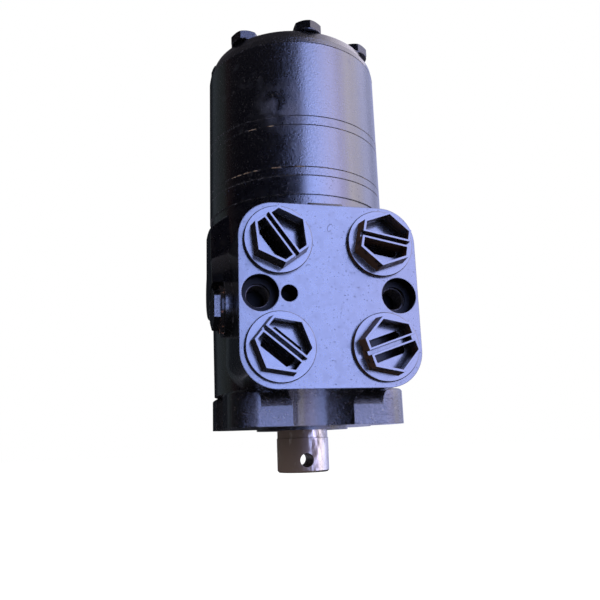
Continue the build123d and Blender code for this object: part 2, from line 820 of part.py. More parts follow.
tilt_length = cardan_head_middle_z - pin_z
plate_offset = eccentricity * (lower_rim_z - pin_z) / tilt_length
distribution_hole = cardan_shank_radius + plate_offset + 3 * orbit_room
coupling_hole = coupling_neck_radius + eccentricity + 2 * orbit_room
keep(stack_plate(housing_height, distribution_thickness, distribution_hole, True), "distribution_plate")
keep(gear_rim(lower_rim_z, lower_rim_height, True), "lower_gear_rim")
keep(stack_plate(spacer_z, spacer_thickness, coupling_hole, True), "spacer_plate")
keep(gear_rim(upper_rim_z, upper_rim_height, True), "upper_gear_rim")
keep(gear_wheel(lower_rim_z, lower_rim_height), "lower_gear_wheel")
keep(gear_wheel(upper_rim_z, upper_rim_height), "upper_gear_wheel")


def spline_outline(root, tip, tooth):
    """Cross-section of a splined shaft, drawn into the sketch that calls it."""
    Circle(root)
    with PolarLocations((root + tip) / 2, spline_teeth):
        Rectangle(tip - root + coupling_gap * 2, tooth)


# Cardan shaft, which leans from the cross pin to the middle of the lower gear wheel
lean = Vector(rotor_centre[0], rotor_centre[1], tilt_length)
cardan_plane = Plane(origin=(0, 0, pin_z), x_dir=(1, 0, 0), z_dir=lean.normalized())
cardan_length = lean.length
with BuildPart() as cardan_shaft:
    with BuildSketch(cardan_plane.offset(-cardan_fork_bottom)):
        Circle(cardan_fork_radius)
    extrude(amount=cardan_fork_bottom + cardan_fork_top)
    with BuildSketch(cardan_plane.offset(cardan_fork_top)):
        Circle(cardan_shank_radius)
    extrude(amount=cardan_length - cardan_head_length / 2 - cardan_fork_top)
    with BuildSketch(cardan_plane.offset(cardan_length - cardan_head_length / 2)):
        spline_outline(spline_root_radius, spline_tip_radius, spline_tooth_width)
    extrude(amount=cardan_head_length)
    # Fork that straddles the cross pin, with room above it for the shaft's lean along the pin
    fork_plane = Plane(origin=(0, 0, pin_z), x_dir=cardan_plane.y_dir, z_dir=(1, 0, 0))
    fork_height = cardan_fork_bottom + 2 * pin_radius
    fork_slot_half = pin_radius + 3 * pin_fit
    fork_slot_top = fork_slot_half + cardan_fork_radius * eccentricity / tilt_length
    with BuildSketch(fork_plane):
        with Locations((0, fork_slot_top - fork_height / 2)):
            Rectangle(2 * fork_slot_half, fork_height)
    extrude(amount=cardan_fork_radius, both=True, mode=Mode.SUBTRACT)
keep(cardan_shaft.part, "cardan_shaft")

# Coupling shaft, which turns the upper gear wheel with the lower one
with BuildPart() as coupling_shaft:
    coupling_plane = Plane(origin=(rotor_centre[0], rotor_centre[1], 0))
    coupling_root = rotor_bore_tip - coupling_gap
    coupling_tip = rotor_bore_root - coupling_gap
    coupling_tooth = spline_tooth_width + 2 * cardan_flank_gap - 2 * coupling_gap
    neck_low_z = spacer_z - orbit_room
    neck_high_z = upper_rim_z + orbit_room
    with BuildSketch(coupling_plane.offset(coupling_low_z)):
        spline_outline(coupling_root, coupling_tip, coupling_tooth)
    extrude(amount=neck_low_z - coupling_low_z)
    with BuildSketch(coupling_plane.offset(neck_low_z)):
        Circle(coupling_neck_radius)
    extrude(amount=neck_high_z - neck_low_z)
    with BuildSketch(coupling_plane.offset(neck_high_z)):
        spline_outline(coupling_root, coupling_tip, coupling_tooth)
    extrude(amount=coupling_high_z - neck_high_z)
keep(coupling_shaft.part, "coupling_shaft")

# Loose spacer over the coupling shaft, which the upper gear wheel carries round
with BuildPart() as rotor_spacer:
    with BuildSketch(coupling_plane.offset(coupling_high_z + gear_end_gap)):
        Circle(rotor_bore_tip - spacer_block_gap)
    extrude(amount=cover_z - 2 * gear_end_gap - coupling_high_z)
keep(rotor_spacer.part, "rotor_spacer")


# End cover, with a bevelled upper edge
with BuildPart() as end_cover:
    bevel_radius = body_radius - cover_draft - cover_bevel
    with BuildSketch(Plane.XZ):
        with BuildLine():
            Polyline(
                (0, cover_z),
                (body_radius - joint_bevel, cover_z),
                (body_radius, cover_z + joint_bevel),
                (body_radius - cover_draft, cover_z + cover_land),
                (bevel_radius, cover_top_z - cover_edge_round),
                (bevel_radius - cover_edge_round, cover_top_z),
                (0, cover_top_z),
                close=True,
            )
        make_face()
    revolve(axis=Axis.Z)
    with BuildSketch(Plane.XY.offset(cover_z)):
        with PolarLocations(bolt_circle_radius, lobe_count, start_angle=first_bolt_angle):
            Circle(bolt_hole_radius)
    extrude(amount=cover_thickness, mode=Mode.SUBTRACT)
keep(end_cover.part, "end_cover")

# Rubber seals of the stack, one in each groove
stack_seals = {
    "housing_seal": housing_height - stack_seal_depth,
    "lower_rim_seal_below": lower_rim_z,
    "lower_rim_seal_above": spacer_z - stack_seal_depth,
    "upper_rim_seal_below": upper_rim_z,
    "upper_rim_seal_above": cover_z - stack_seal_depth,
}
for seal_name, seal_low in stack_seals.items():
    keep(soft_ring(stack_seal_outer, stack_seal_inner, seal_low, seal_low + stack_seal_depth, 0.3), seal_name)


# Bolts and washers of the stack
def bolt_place(index):
    """Angle in degrees and place of one bolt."""
    angle = first_bolt_angle + index * bolt_step
    return angle, bolt_circle_radius * cos(radians(angle)), bolt_circle_radius * sin(radians(angle))


def bolt_head():
    """Hexagon head on the plane Z = 0, with its corners turned off to a cone."""
    head_corner = bolt_head_flats / sqrt(3)
    crown_radius = bolt_head_crown * bolt_head_flats / 2
    drop = (bolt_head_flats - crown_radius) * tan(radians(bolt_head_slope))
    with BuildPart() as head:
        with BuildSketch():
            RegularPolygon(head_corner, 6)
        extrude(amount=bolt_head_height)
        with BuildSketch(Plane.XZ):
            with BuildLine():
                Polyline(
                    (crown_radius, bolt_head_height),
                    (bolt_head_flats, bolt_head_height),
                    (bolt_head_flats, bolt_head_height - drop),
                    close=True,
                )
            make_face()
        revolve(axis=Axis.Z, mode=Mode.SUBTRACT)
    return head.part


def stack_bolts(indices):
    """Hexagon bolts at the places given, each a solid of its own."""
    head = bolt_head()
    with BuildPart() as bolts:
        for index in indices:
            angle, x, y = bolt_place(index)
            with Locations(Location((x, y, head_seat_z), (0, 0, angle + bolt_head_turns[index]))):
                add(head)
            with BuildSketch(Plane.XY.offset(housing_height)):
                with Locations((x, y)):
                    Circle(bolt_radius)
            extrude(amount=head_seat_z - housing_height)
            with BuildSketch(Plane.XY.offset(bolt_tip_z)):
                with Locations((x, y)):
                    Circle(bolt_core_radius)
            extrude(amount=bolt_engagement)
    return bolts.part


plain_bolts = [index for index in range(lobe_count) if index != check_bolt_index]
keep(stack_bolts(plain_bolts), "cover_bolts")
keep(stack_bolts([check_bolt_index]), "check_valve_bolt")

with BuildPart() as bolt_washers:
    with BuildSketch(Plane.XY.offset(cover_top_z)):
        with PolarLocations(bolt_circle_radius, lobe_count, start_angle=first_bolt_angle):
            Circle(bolt_washer_radius)
            Circle(bolt_hole_radius, mode=Mode.SUBTRACT)
    extrude(amount=bolt_washer_thickness)
keep(bolt_washers.part, "bolt_washers")


# Plastic plugs that close the ports
def port_plug(x, z, turn):
    """Flanged plug with a hexagonal cup, a screwdriver slot between two blades and two deep pockets."""
    away = radians(turn)
    seat = Plane(origin=(x, -pad_face, z), x_dir=(cos(away), 0, sin(away)), z_dir=(0, -1, 0))
    barrel_radius = port_hole_radius - plug_barrel_gap
    rim_corner = plug_hex_radius - plug_hex_draft
    rim_flats = rim_corner * sqrt(3)
    wall_corner = plug_wall * 2 / sqrt(3)
    blade_middle = (plug_slot_width + plug_blade_thickness) / 2
    pocket_middle = plug_slot_width / 2 + plug_blade_thickness + plug_pocket_width / 2
    with BuildPart() as plug:
        with BuildSketch(seat):
            Circle(plug_flange_radius)
        extrude(amount=plug_flange_thickness)
        flange_rim = plug.edges().filter_by(GeomType.CIRCLE).sort_by(Axis.Y)[0]
        fillet(flange_rim, radius=plug_flange_round)
        with BuildSketch(seat):
            Circle(barrel_radius)
        extrude(amount=-plug_barrel_length)
        # Hexagonal cup with a little draft
        with BuildSketch(seat):
            RegularPolygon(plug_hex_radius, 6, rotation=30)
        with BuildSketch(seat.offset(plug_rim_height)):
            RegularPolygon(rim_corner, 6, rotation=30)
        loft()
        with BuildSketch(seat.offset(plug_cup_floor)):
            RegularPolygon(plug_hex_radius - wall_corner, 6, rotation=30)
        with BuildSketch(seat.offset(plug_rim_height)):
            RegularPolygon(rim_corner - wall_corner, 6, rotation=30)
        loft(mode=Mode.SUBTRACT)
        # Blades beside the screwdriver slot, notched through the rim
        with BuildSketch(seat.offset(plug_cup_floor)):
            with Locations((0, blade_middle), (0, -blade_middle)):
                Rectangle(rim_flats - plug_wall, plug_blade_thickness)
        extrude(amount=plug_rim_height - plug_cup_floor)
        with BuildSketch(seat.offset(plug_rim_height - plug_notch_depth)):
            Rectangle(plug_hex_radius * sqrt(3), plug_slot_width)
        extrude(amount=plug_notch_depth, mode=Mode.SUBTRACT)
        # Deep pockets, which run down into the barrel
        with BuildSketch(seat.offset(plug_cup_floor)):
            with Locations((0, pocket_middle), (0, -pocket_middle)):
                Rectangle(plug_pocket_length, plug_pocket_width)
            Circle(barrel_radius - plug_barrel_wall, mode=Mode.INTERSECT)
        extrude(amount=plug_barrel_wall - plug_barrel_length - plug_cup_floor, mode=Mode.SUBTRACT)
    return plug.part


for port_name, x, z in port_positions():
    keep(port_plug(x, z, plug_turns[port_name]), f"port_plug_{port_name}")


# Relief valve, from the plug inwards along +X
def on_relief_axis(distance):
    """Plane across the relief valve's bore, at a distance in from the plug's seat."""
    return Plane(origin=(distance - relief_seat_x, relief_y, relief_z), x_dir=(0, 1, 0), z_dir=(1, 0, 0))


relief_bore_clearance = relief_bore_radius - seal_clearance
with BuildPart() as relief_plug:
    with BuildSketch(on_relief_axis(-relief_washer_thickness)):
        RegularPolygon(relief_plug_flats / sqrt(3), 6, rotation=30)
    extrude(amount=-relief_plug_height)
    outer_face = relief_plug.faces().sort_by(Axis.X)[0]
    chamfer(outer_face.edges(), length=relief_plug_bevel)
    with BuildSketch(on_relief_axis(-relief_washer_thickness)):
        Circle(relief_thread_radius)
    extrude(amount=relief_washer_thickness + relief_thread_depth - thread_core)
keep(relief_plug.part, "relief_plug")

with BuildPart() as relief_plug_washer:
    with BuildSketch(on_relief_axis(-relief_washer_thickness)):
        Circle(relief_washer_radius)
        Circle(relief_thread_radius + thread_fit, mode=Mode.SUBTRACT)
    extrude(amount=relief_washer_thickness)
keep(relief_plug_washer.part, "relief_plug_washer")

seat_start = relief_bore_depth - relief_seat_length
cone_start = seat_start - relief_cone_length
spring_start = cone_start - relief_lift - lift_gap - relief_spring_length
screw_start = spring_start - relief_screw_length
with BuildPart() as relief_adjusting_screw:
    with BuildSketch(on_relief_axis(screw_start)):
        Circle(relief_bore_clearance)
    extrude(amount=relief_screw_length)
    with BuildSketch(on_relief_axis(screw_start)):
        RegularPolygon(relief_screw_socket / sqrt(3), 6)
    extrude(amount=relief_screw_length / 2, mode=Mode.SUBTRACT)
keep(relief_adjusting_screw.part, "relief_adjusting_screw")

with BuildPart() as relief_spring:
    free_pitch = (relief_spring_length - relief_spring_wire) / relief_spring_turns
    coil_height = relief_spring_length - relief_spring_wire
    coil_plane = on_relief_axis(spring_start + relief_spring_wire / 2)
    coil = Helix(
        pitch=free_pitch,
        height=coil_height,
        radius=relief_spring_radius,
        center=coil_plane.origin,
        direction=coil_plane.z_dir,
    )
    with BuildSketch(Plane(origin=coil @ 0, z_dir=coil % 0)):
        Circle(relief_spring_wire / 2)
    sweep(path=coil, is_frenet=True)
keep(relief_spring.part, "relief_spring")

with BuildPart() as relief_cone:
    tip_radius = relief_drill_radius - seal_clearance
    with BuildSketch(on_relief_axis(cone_start)):
        Circle(relief_cone_radius)
    extrude(amount=relief_cone_length / 2)
    with BuildSketch(on_relief_axis(cone_start + relief_cone_length / 2)):
        Circle(relief_cone_radius)
    with BuildSketch(on_relief_axis(seat_start - bearing_gap)):
        Circle(tip_radius)
    loft()
keep(relief_cone.part, "relief_cone")

with BuildPart() as relief_seat:
    with BuildSketch(on_relief_axis(seat_start)):
        Circle(relief_bore_clearance)
        Circle(relief_drill_radius, mode=Mode.SUBTRACT)
    extrude(amount=relief_seat_length)
keep(relief_seat.part, "relief_seat")


# Check valve behind the lower right port: a ball on its seat, under a screwed bushing
check_x, check_z = passage_place("bottom_right", port_x, port_low_z)
check_floor_y = -(pad_face - port_depth - check_chamber_depth)
ball_stand_off = sqrt(check_ball_radius ** 2 - check_seat_radius ** 2) + seal_clearance
with BuildPart() as check_ball:
    with Locations((check_x, check_floor_y - ball_stand_off, check_z)):
        Sphere(check_ball_radius)
keep(check_ball.part, "check_ball")

bushing_y = check_floor_y - ball_stand_off - check_ball_radius - check_lift - lift_gap
with BuildPart() as check_ball_bushing:
    with BuildSketch(Plane.XZ.offset(-bushing_y)):
        with Locations((check_x, check_z)):
            Circle(check_chamber_radius - seal_clearance)
            Circle(check_bushing_hole, mode=Mode.SUBTRACT)
    extrude(amount=check_bushing_length)
keep(check_ball_bushing.part, "check_ball_bushing")
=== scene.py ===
"""Finishes, small added pieces and studio for the orbital steering unit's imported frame."""

import json
import math
import random

import bmesh
import bpy
from bpy.props import FloatProperty, FloatVectorProperty, IntProperty, PointerProperty
from mathutils import Matrix, Vector


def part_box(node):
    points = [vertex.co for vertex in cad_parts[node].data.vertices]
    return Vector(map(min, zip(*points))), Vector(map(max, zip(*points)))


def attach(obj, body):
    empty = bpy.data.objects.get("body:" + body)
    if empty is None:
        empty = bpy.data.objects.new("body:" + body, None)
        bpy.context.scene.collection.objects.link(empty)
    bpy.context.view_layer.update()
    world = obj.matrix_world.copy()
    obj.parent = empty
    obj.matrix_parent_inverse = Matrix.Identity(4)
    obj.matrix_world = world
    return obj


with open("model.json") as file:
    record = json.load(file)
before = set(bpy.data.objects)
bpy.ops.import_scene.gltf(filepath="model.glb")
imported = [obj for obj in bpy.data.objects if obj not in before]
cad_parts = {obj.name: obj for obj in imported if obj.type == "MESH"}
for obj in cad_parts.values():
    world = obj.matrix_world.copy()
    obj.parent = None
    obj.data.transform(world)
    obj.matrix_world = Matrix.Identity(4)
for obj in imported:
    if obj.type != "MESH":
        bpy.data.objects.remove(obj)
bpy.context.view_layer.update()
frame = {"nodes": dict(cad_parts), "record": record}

bl_info = {
    "name": "Orbital Steering Unit",
    "version": (1, 0, 0),
    "blender": (4, 5, 0),
    "location": "3D View > Sidebar > Steering Unit",
    "description": "Finishes and small pieces of an orbital steering unit, and the studio that shows it",
    "category": "Object",
}

MM = 0.001
PORTS = ("top_left", "top_right", "bottom_left", "bottom_right")


# Places read from the frame, in millimetres


def low_mm(node):
    """Lowest corner of a node's box."""
    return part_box(node)[0] / MM


def high_mm(node):
    """Highest corner of a node's box."""
    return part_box(node)[1] / MM


def middle_mm(node):
    """Centre of a node's box."""
    return (low_mm(node) + high_mm(node)) / 2


BODY_RADIUS = high_mm("lower_gear_rim").x
DISTRIBUTION_Z = low_mm("distribution_plate").z
LOWER_RIM_Z = low_mm("lower_gear_rim").z
SPACER_Z = low_mm("spacer_plate").z
UPPER_RIM_Z = low_mm("upper_gear_rim").z
COVER_Z = low_mm("end_cover").z
PORT_FACE_Y = low_mm("housing").y
PORT_CENTRES = {port: middle_mm(f"port_plug_{port}") for port in PORTS}
PORT_MIDDLE = sum(PORT_CENTRES.values(), Vector()) / len(PORTS)
RIM_FACE_Y = low_mm("port_plug_top_left").y
MOUNTS = {mount["name"]: mount for mount in frame["record"]["mounts"]}
PORT_RADIUS = MOUNTS["port_top_left"]["dims"]["r_mm"]
BLOCK_HOLE_OFFSET = MOUNTS["valve_block_holes"]["dims"]["spacing_x_mm"] / 2
BLOCK_HOLE_RADIUS = MOUNTS["valve_block_holes"]["dims"]["hole_r_mm"]
LOCATING_HOLE_X = MOUNTS["locating_hole"]["pos_m"][0] / MM
LOCATING_HOLE_RADIUS = MOUNTS["locating_hole"]["dims"]["r_mm"]
COLUMN_HOLE_OFFSET = MOUNTS["column_flange"]["dims"]["pcd_mm"] / 2 * math.cos(math.pi / 4)
COLUMN_HOLE_RADIUS = MOUNTS["column_flange"]["dims"]["hole_r_mm"]

# Sizes in millimetres that neither the boxes nor the mounts give
NECK_HEIGHT = 9.5
NECK_Z = DISTRIBUTION_Z - NECK_HEIGHT
COUNTERBORE_DEPTH = 6.4
COUNTERBORE_RADIUS = 8.0
BLOCK_HOLE_DEPTH = 20.0
COLUMN_HOLE_DEPTH = 13.5
PORT_PITCH = 1.814
THREAD_DEPTH = 0.6
PLUG_FLANGE_RADIUS = 14.5
JOINT_GROOVE = 0.25

# The housing is bare inside this radius, above this height
BARE_RADIUS = 23.0
BARE_START_Z = 3.1

# Middle of the large smear on the front of the stack
SMEAR_X = -14.0
SMEAR_Z = 152.0

# Point in metres that the lamps are aimed at
LAMP_TARGET = Vector((0, 0, 0.09))


# Settings that a user would change


class PaintSettings(bpy.types.PropertyGroup):
    """Black enamel on the casting and on the turned rings."""

    colour: FloatVectorProperty(
        name="Colour",
        description="Colour of the enamel",
        subtype="COLOR",
        size=4,
        default=(0.001, 0.001, 0.0022, 1.0),
    )
    gloss: FloatProperty(
        name="Roughness",
        description="Roughness of the enamel where it is smooth",
        subtype="FACTOR",
        default=0.24,
        min=0.0,
        max=1.0,
    )
    grain_size: FloatProperty(
        name="Grain size",
        description="Size of the casting's grain under the enamel, in millimetres",
        default=0.9,
        min=0.1,
    )
    grain_depth: FloatProperty(
        name="Grain depth",
        description="Depth of the casting's grain, in millimetres",
        default=0.16,
        min=0.0,
    )
    # Lighter colour along edges: partly enamel worn thin, partly a painted highlight
    edge_wear_and_highlight_colour: FloatVectorProperty(
        name="Worn edges",
        description="Colour where the enamel has worn thin along edges",
        subtype="COLOR",
        size=4,
        default=(0.16, 0.15, 0.2, 1.0),
    )
    stain_colour: FloatVectorProperty(
        name="Stains",
        description="Colour of the brown stains, most of which are low on the flange",
        subtype="COLOR",
        size=4,
        default=(0.05, 0.028, 0.018, 1.0),
    )


class MetalSettings(bpy.types.PropertyGroup):
    """Bare metals of the shaft, the gears and the bearing."""

    steel_colour: FloatVectorProperty(
        name="Steel",
        description="Colour of clean ground steel",
        subtype="COLOR",
        size=4,
        default=(0.85, 0.8, 0.76, 1.0),
    )
    # The tarnish colour also serves as painted shade on the shaft's left side
    tarnish_and_shade_colour: FloatVectorProperty(
        name="Tarnish",
        description="Colour of the brown film on the shaft's end",
        subtype="COLOR",
        size=4,
        default=(0.17, 0.12, 0.1, 1.0),
    )
    brass_colour: FloatVectorProperty(
        name="Brass",
        description="Colour of the bearing's cage",
        subtype="COLOR",
        size=4,
        default=(0.55, 0.36, 0.12, 1.0),
    )
    copper_colour: FloatVectorProperty(
        name="Copper",
        description="Colour of the washer under the relief valve's plug",
        subtype="COLOR",
        size=4,
        default=(0.62, 0.3, 0.22, 1.0),
    )


class PlugSettings(bpy.types.PropertyGroup):
    """Plastic plugs in the ports."""

    colour: FloatVectorProperty(
        name="Colour",
        description="Colour of the plastic where enamel covers it",
        subtype="COLOR",
        size=4,
        default=(0.010, 0.009, 0.012, 1.0),
    )
    bare_colour: FloatVectorProperty(
        name="Bare plastic",
        description="Brown colour where the enamel missed the plastic",
        subtype="COLOR",
        size=4,
        default=(0.05, 0.026, 0.017, 1.0),
    )


class ThreadSettings(bpy.types.PropertyGroup):
    """Threads cut in the holes of the housing."""

    block_pitch: FloatProperty(
        name="Block hole pitch",
        description="Pitch of the threads beside the ports, in millimetres",
        default=1.5,
        min=0.2,
    )
    column_pitch: FloatProperty(
        name="Column hole pitch",
        description="Pitch of the threads in the flange, in millimetres",
        default=1.25,
        min=0.2,
    )
    steps: IntProperty(
        name="Steps",
        description="Number of straight steps in one turn of a thread",
        default=40,
        min=8,
    )


class StageSettings(bpy.types.PropertyGroup):
    """Camera, lamps, cards and floor."""

    camera_place: FloatVectorProperty(
        name="Camera",
        description="Place of the camera",
        subtype="TRANSLATION",
        unit="LENGTH",
        size=3,
        default=(-0.07694, -0.31229, -0.00569),
    )
    heading: FloatProperty(
        name="Heading",
        description="Direction of view, turned from +Y towards +X",
        subtype="ANGLE",
        default=math.radians(14.04),
    )
    tilt: FloatProperty(
        name="Tilt",
        description="Direction of view above the horizon",
        subtype="ANGLE",
        default=math.radians(12.47),
    )
    roll: FloatProperty(
        name="Roll",
        description="Turn of the camera about its direction of view",
        subtype="ANGLE",
        default=math.radians(-1.93),
    )
    lens: FloatProperty(
        name="Lens",
        description="Focal length for a 36 mm wide sensor, in millimetres",
        subtype="DISTANCE_CAMERA",
        unit="CAMERA",
        default=37.77,
        min=1.0,
    )
    floor_drop: FloatProperty(
        name="Floor drop",
        description="Height of the shaft's end above the floor",
        subtype="DISTANCE",
        unit="LENGTH",
        default=0.11,
        min=0.0,
    )
    ambient: FloatProperty(
        name="Ambient light",
        description="Strength of the even light from all round",
        default=0.55,
        min=0.0,
    )


class UnitSettings(bpy.types.PropertyGroup):
    """All settings of the steering unit."""

    paint: PointerProperty(type=PaintSettings)
    metal: PointerProperty(type=MetalSettings)
    plug: PointerProperty(type=PlugSettings)
    thread: PointerProperty(type=ThreadSettings)
    stage: PointerProperty(type=StageSettings)


# Material nodes


class Nodes:
    """Node tree of a material or of the world, emptied of what it starts with."""

    def __init__(self, owner):
        owner.use_nodes = True
        self.tree = owner.node_tree
        self.tree.nodes.clear()

    def add(self, kind, inputs=None, **settings):
        """A node with its settings; each input is a number, a colour or another node's output."""
        node = self.tree.nodes.new(kind)
        for setting, value in settings.items():
            setattr(node, setting, value)
        for socket, value in (inputs or {}).items():
            if isinstance(value, bpy.types.NodeSocket):
                self.tree.links.new(value, node.inputs[socket])
            else:
                node.inputs[socket].default_value = value
        return node

    def math(self, operation, first, second=0.0):
        """Result of one sum on two values."""
        return self.add("ShaderNodeMath", {0: first, 1: second}, operation=operation).outputs[0]

    def background_rays(self):
        """1 for the rays that show the background: from the camera, in gloss and through glass."""
        rays = self.add("ShaderNodeLightPath").outputs
        seen = self.math("MAXIMUM", rays["Is Camera Ray"], rays["Is Glossy Ray"])
        return self.math("MAXIMUM", seen, rays["Is Transmission Ray"])


class Finish(Nodes):
    """Nodes of one finish. Lengths in it are millimetres of the object's own frame."""

    def __init__(self, name):
        self.material = bpy.data.materials.new(name)
        super().__init__(self.material)
        metres = self.add("ShaderNodeTexCoord").outputs["Object"]
        scaled = self.add("ShaderNodeVectorMath", {"Vector": metres, "Scale": 1 / MM}, operation="SCALE")
        self.place = scaled.outputs["Vector"]
        split = self.add("ShaderNodeSeparateXYZ", {"Vector": self.place})
        self.x, self.y, self.z = split.outputs

    def noise(self, size, detail=2.0, roughness=0.5, stretch=None):
        """Cloudy pattern from 0 to 1 whose patches are about size millimetres across."""
        place = self.place
        if stretch:
            place = self.add("ShaderNodeVectorMath", {0: place, 1: stretch}, operation="MULTIPLY").outputs[0]
        inputs = {"Vector": place, "Scale": 1 / size, "Detail": detail, "Roughness": roughness}
        return self.add("ShaderNodeTexNoise", inputs).outputs[0]

    def cells(self, size):
        """Distance from the middle of the nearest of many scattered spots."""
        return self.add("ShaderNodeTexVoronoi", {"Vector": self.place, "Scale": 1 / size}).outputs["Distance"]

    def step(self, value, low, high):
        """0 below low, 1 above high and a smooth rise between; high may be the lower one."""
        inputs = {"Value": value, "From Min": low, "From Max": high}
        return self.add("ShaderNodeMapRange", inputs, interpolation_type="SMOOTHSTEP").outputs[0]

    def blend(self, factor, first, second):
        """Colour between two colours."""
        return self.add("ShaderNodeMix", {0: factor, 6: first, 7: second}, data_type="RGBA").outputs[2]

    def between(self, factor, first, second):
        """Number between two numbers."""
        return self.add("ShaderNodeMix", {0: factor, 2: first, 3: second}, data_type="FLOAT").outputs[0]

    def from_axis(self, first, second, first_centre=0.0, second_centre=0.0):
        """Distance from an axis that stands at two centres."""
        across = self.math("SUBTRACT", first, first_centre)
        along = self.math("SUBTRACT", second, second_centre)
        squares = self.math("ADD", self.math("MULTIPLY", across, across), self.math("MULTIPLY", along, along))
        return self.math("SQRT", squares)

    def thread(self, first, second, along, pitch):
        """Height from 0 to 1 of a screw thread round an axis where first and second are 0."""
        turn = self.math("DIVIDE", self.math("ARCTAN2", first, second), 2 * math.pi)
        turns = self.math("ADD", self.math("DIVIDE", along, pitch), turn)
        return self.math("MULTIPLY", self.math("PINGPONG", turns, 0.5), 2.0)

    def bump(self, height, depth, normal=None):
        """Normal that follows a height pattern of the given depth in millimetres."""
        inputs = {"Height": height, "Distance": depth * MM, "Strength": 1.0}
        if normal is not None:
            inputs["Normal"] = normal
        return self.add("ShaderNodeBump", inputs).outputs["Normal"]

    def soft_edges(self, width):
        """Normal that rounds sharp edges over a width in millimetres."""
        return self.add("ShaderNodeBevel", {"Radius": width * MM}, samples=6).outputs["Normal"]

    def edge_mask(self, rounded):
        """1 along sharp edges, where the rounded normal leaves the true one."""
        flat = self.add("ShaderNodeNewGeometry").outputs["Normal"]
        match = self.add("ShaderNodeVectorMath", {0: rounded, 1: flat}, operation="DOT_PRODUCT")
        return self.step(match.outputs["Value"], 0.995, 0.93)

    def surface(self, **inputs):
        """Principled shader with these inputs, wired to the output."""
        values = {key.replace("_", " ").title().replace("Ior", "IOR"): value for key, value in inputs.items()}
        shader = self.add("ShaderNodeBsdfPrincipled", values)
        self.add("ShaderNodeOutputMaterial", {"Surface": shader.outputs[0]})
        return self.material

    def glow(self, colour, strength=1.0):
        """Light of one colour, wired to the output."""
        light = self.add("ShaderNodeEmission", {"Color": colour, "Strength": strength})
        self.add("ShaderNodeOutputMaterial", {"Surface": light.outputs[0]})
        return self.material


ENAMEL_IOR = 2.2
THIN_ENAMEL_IOR = 1.6


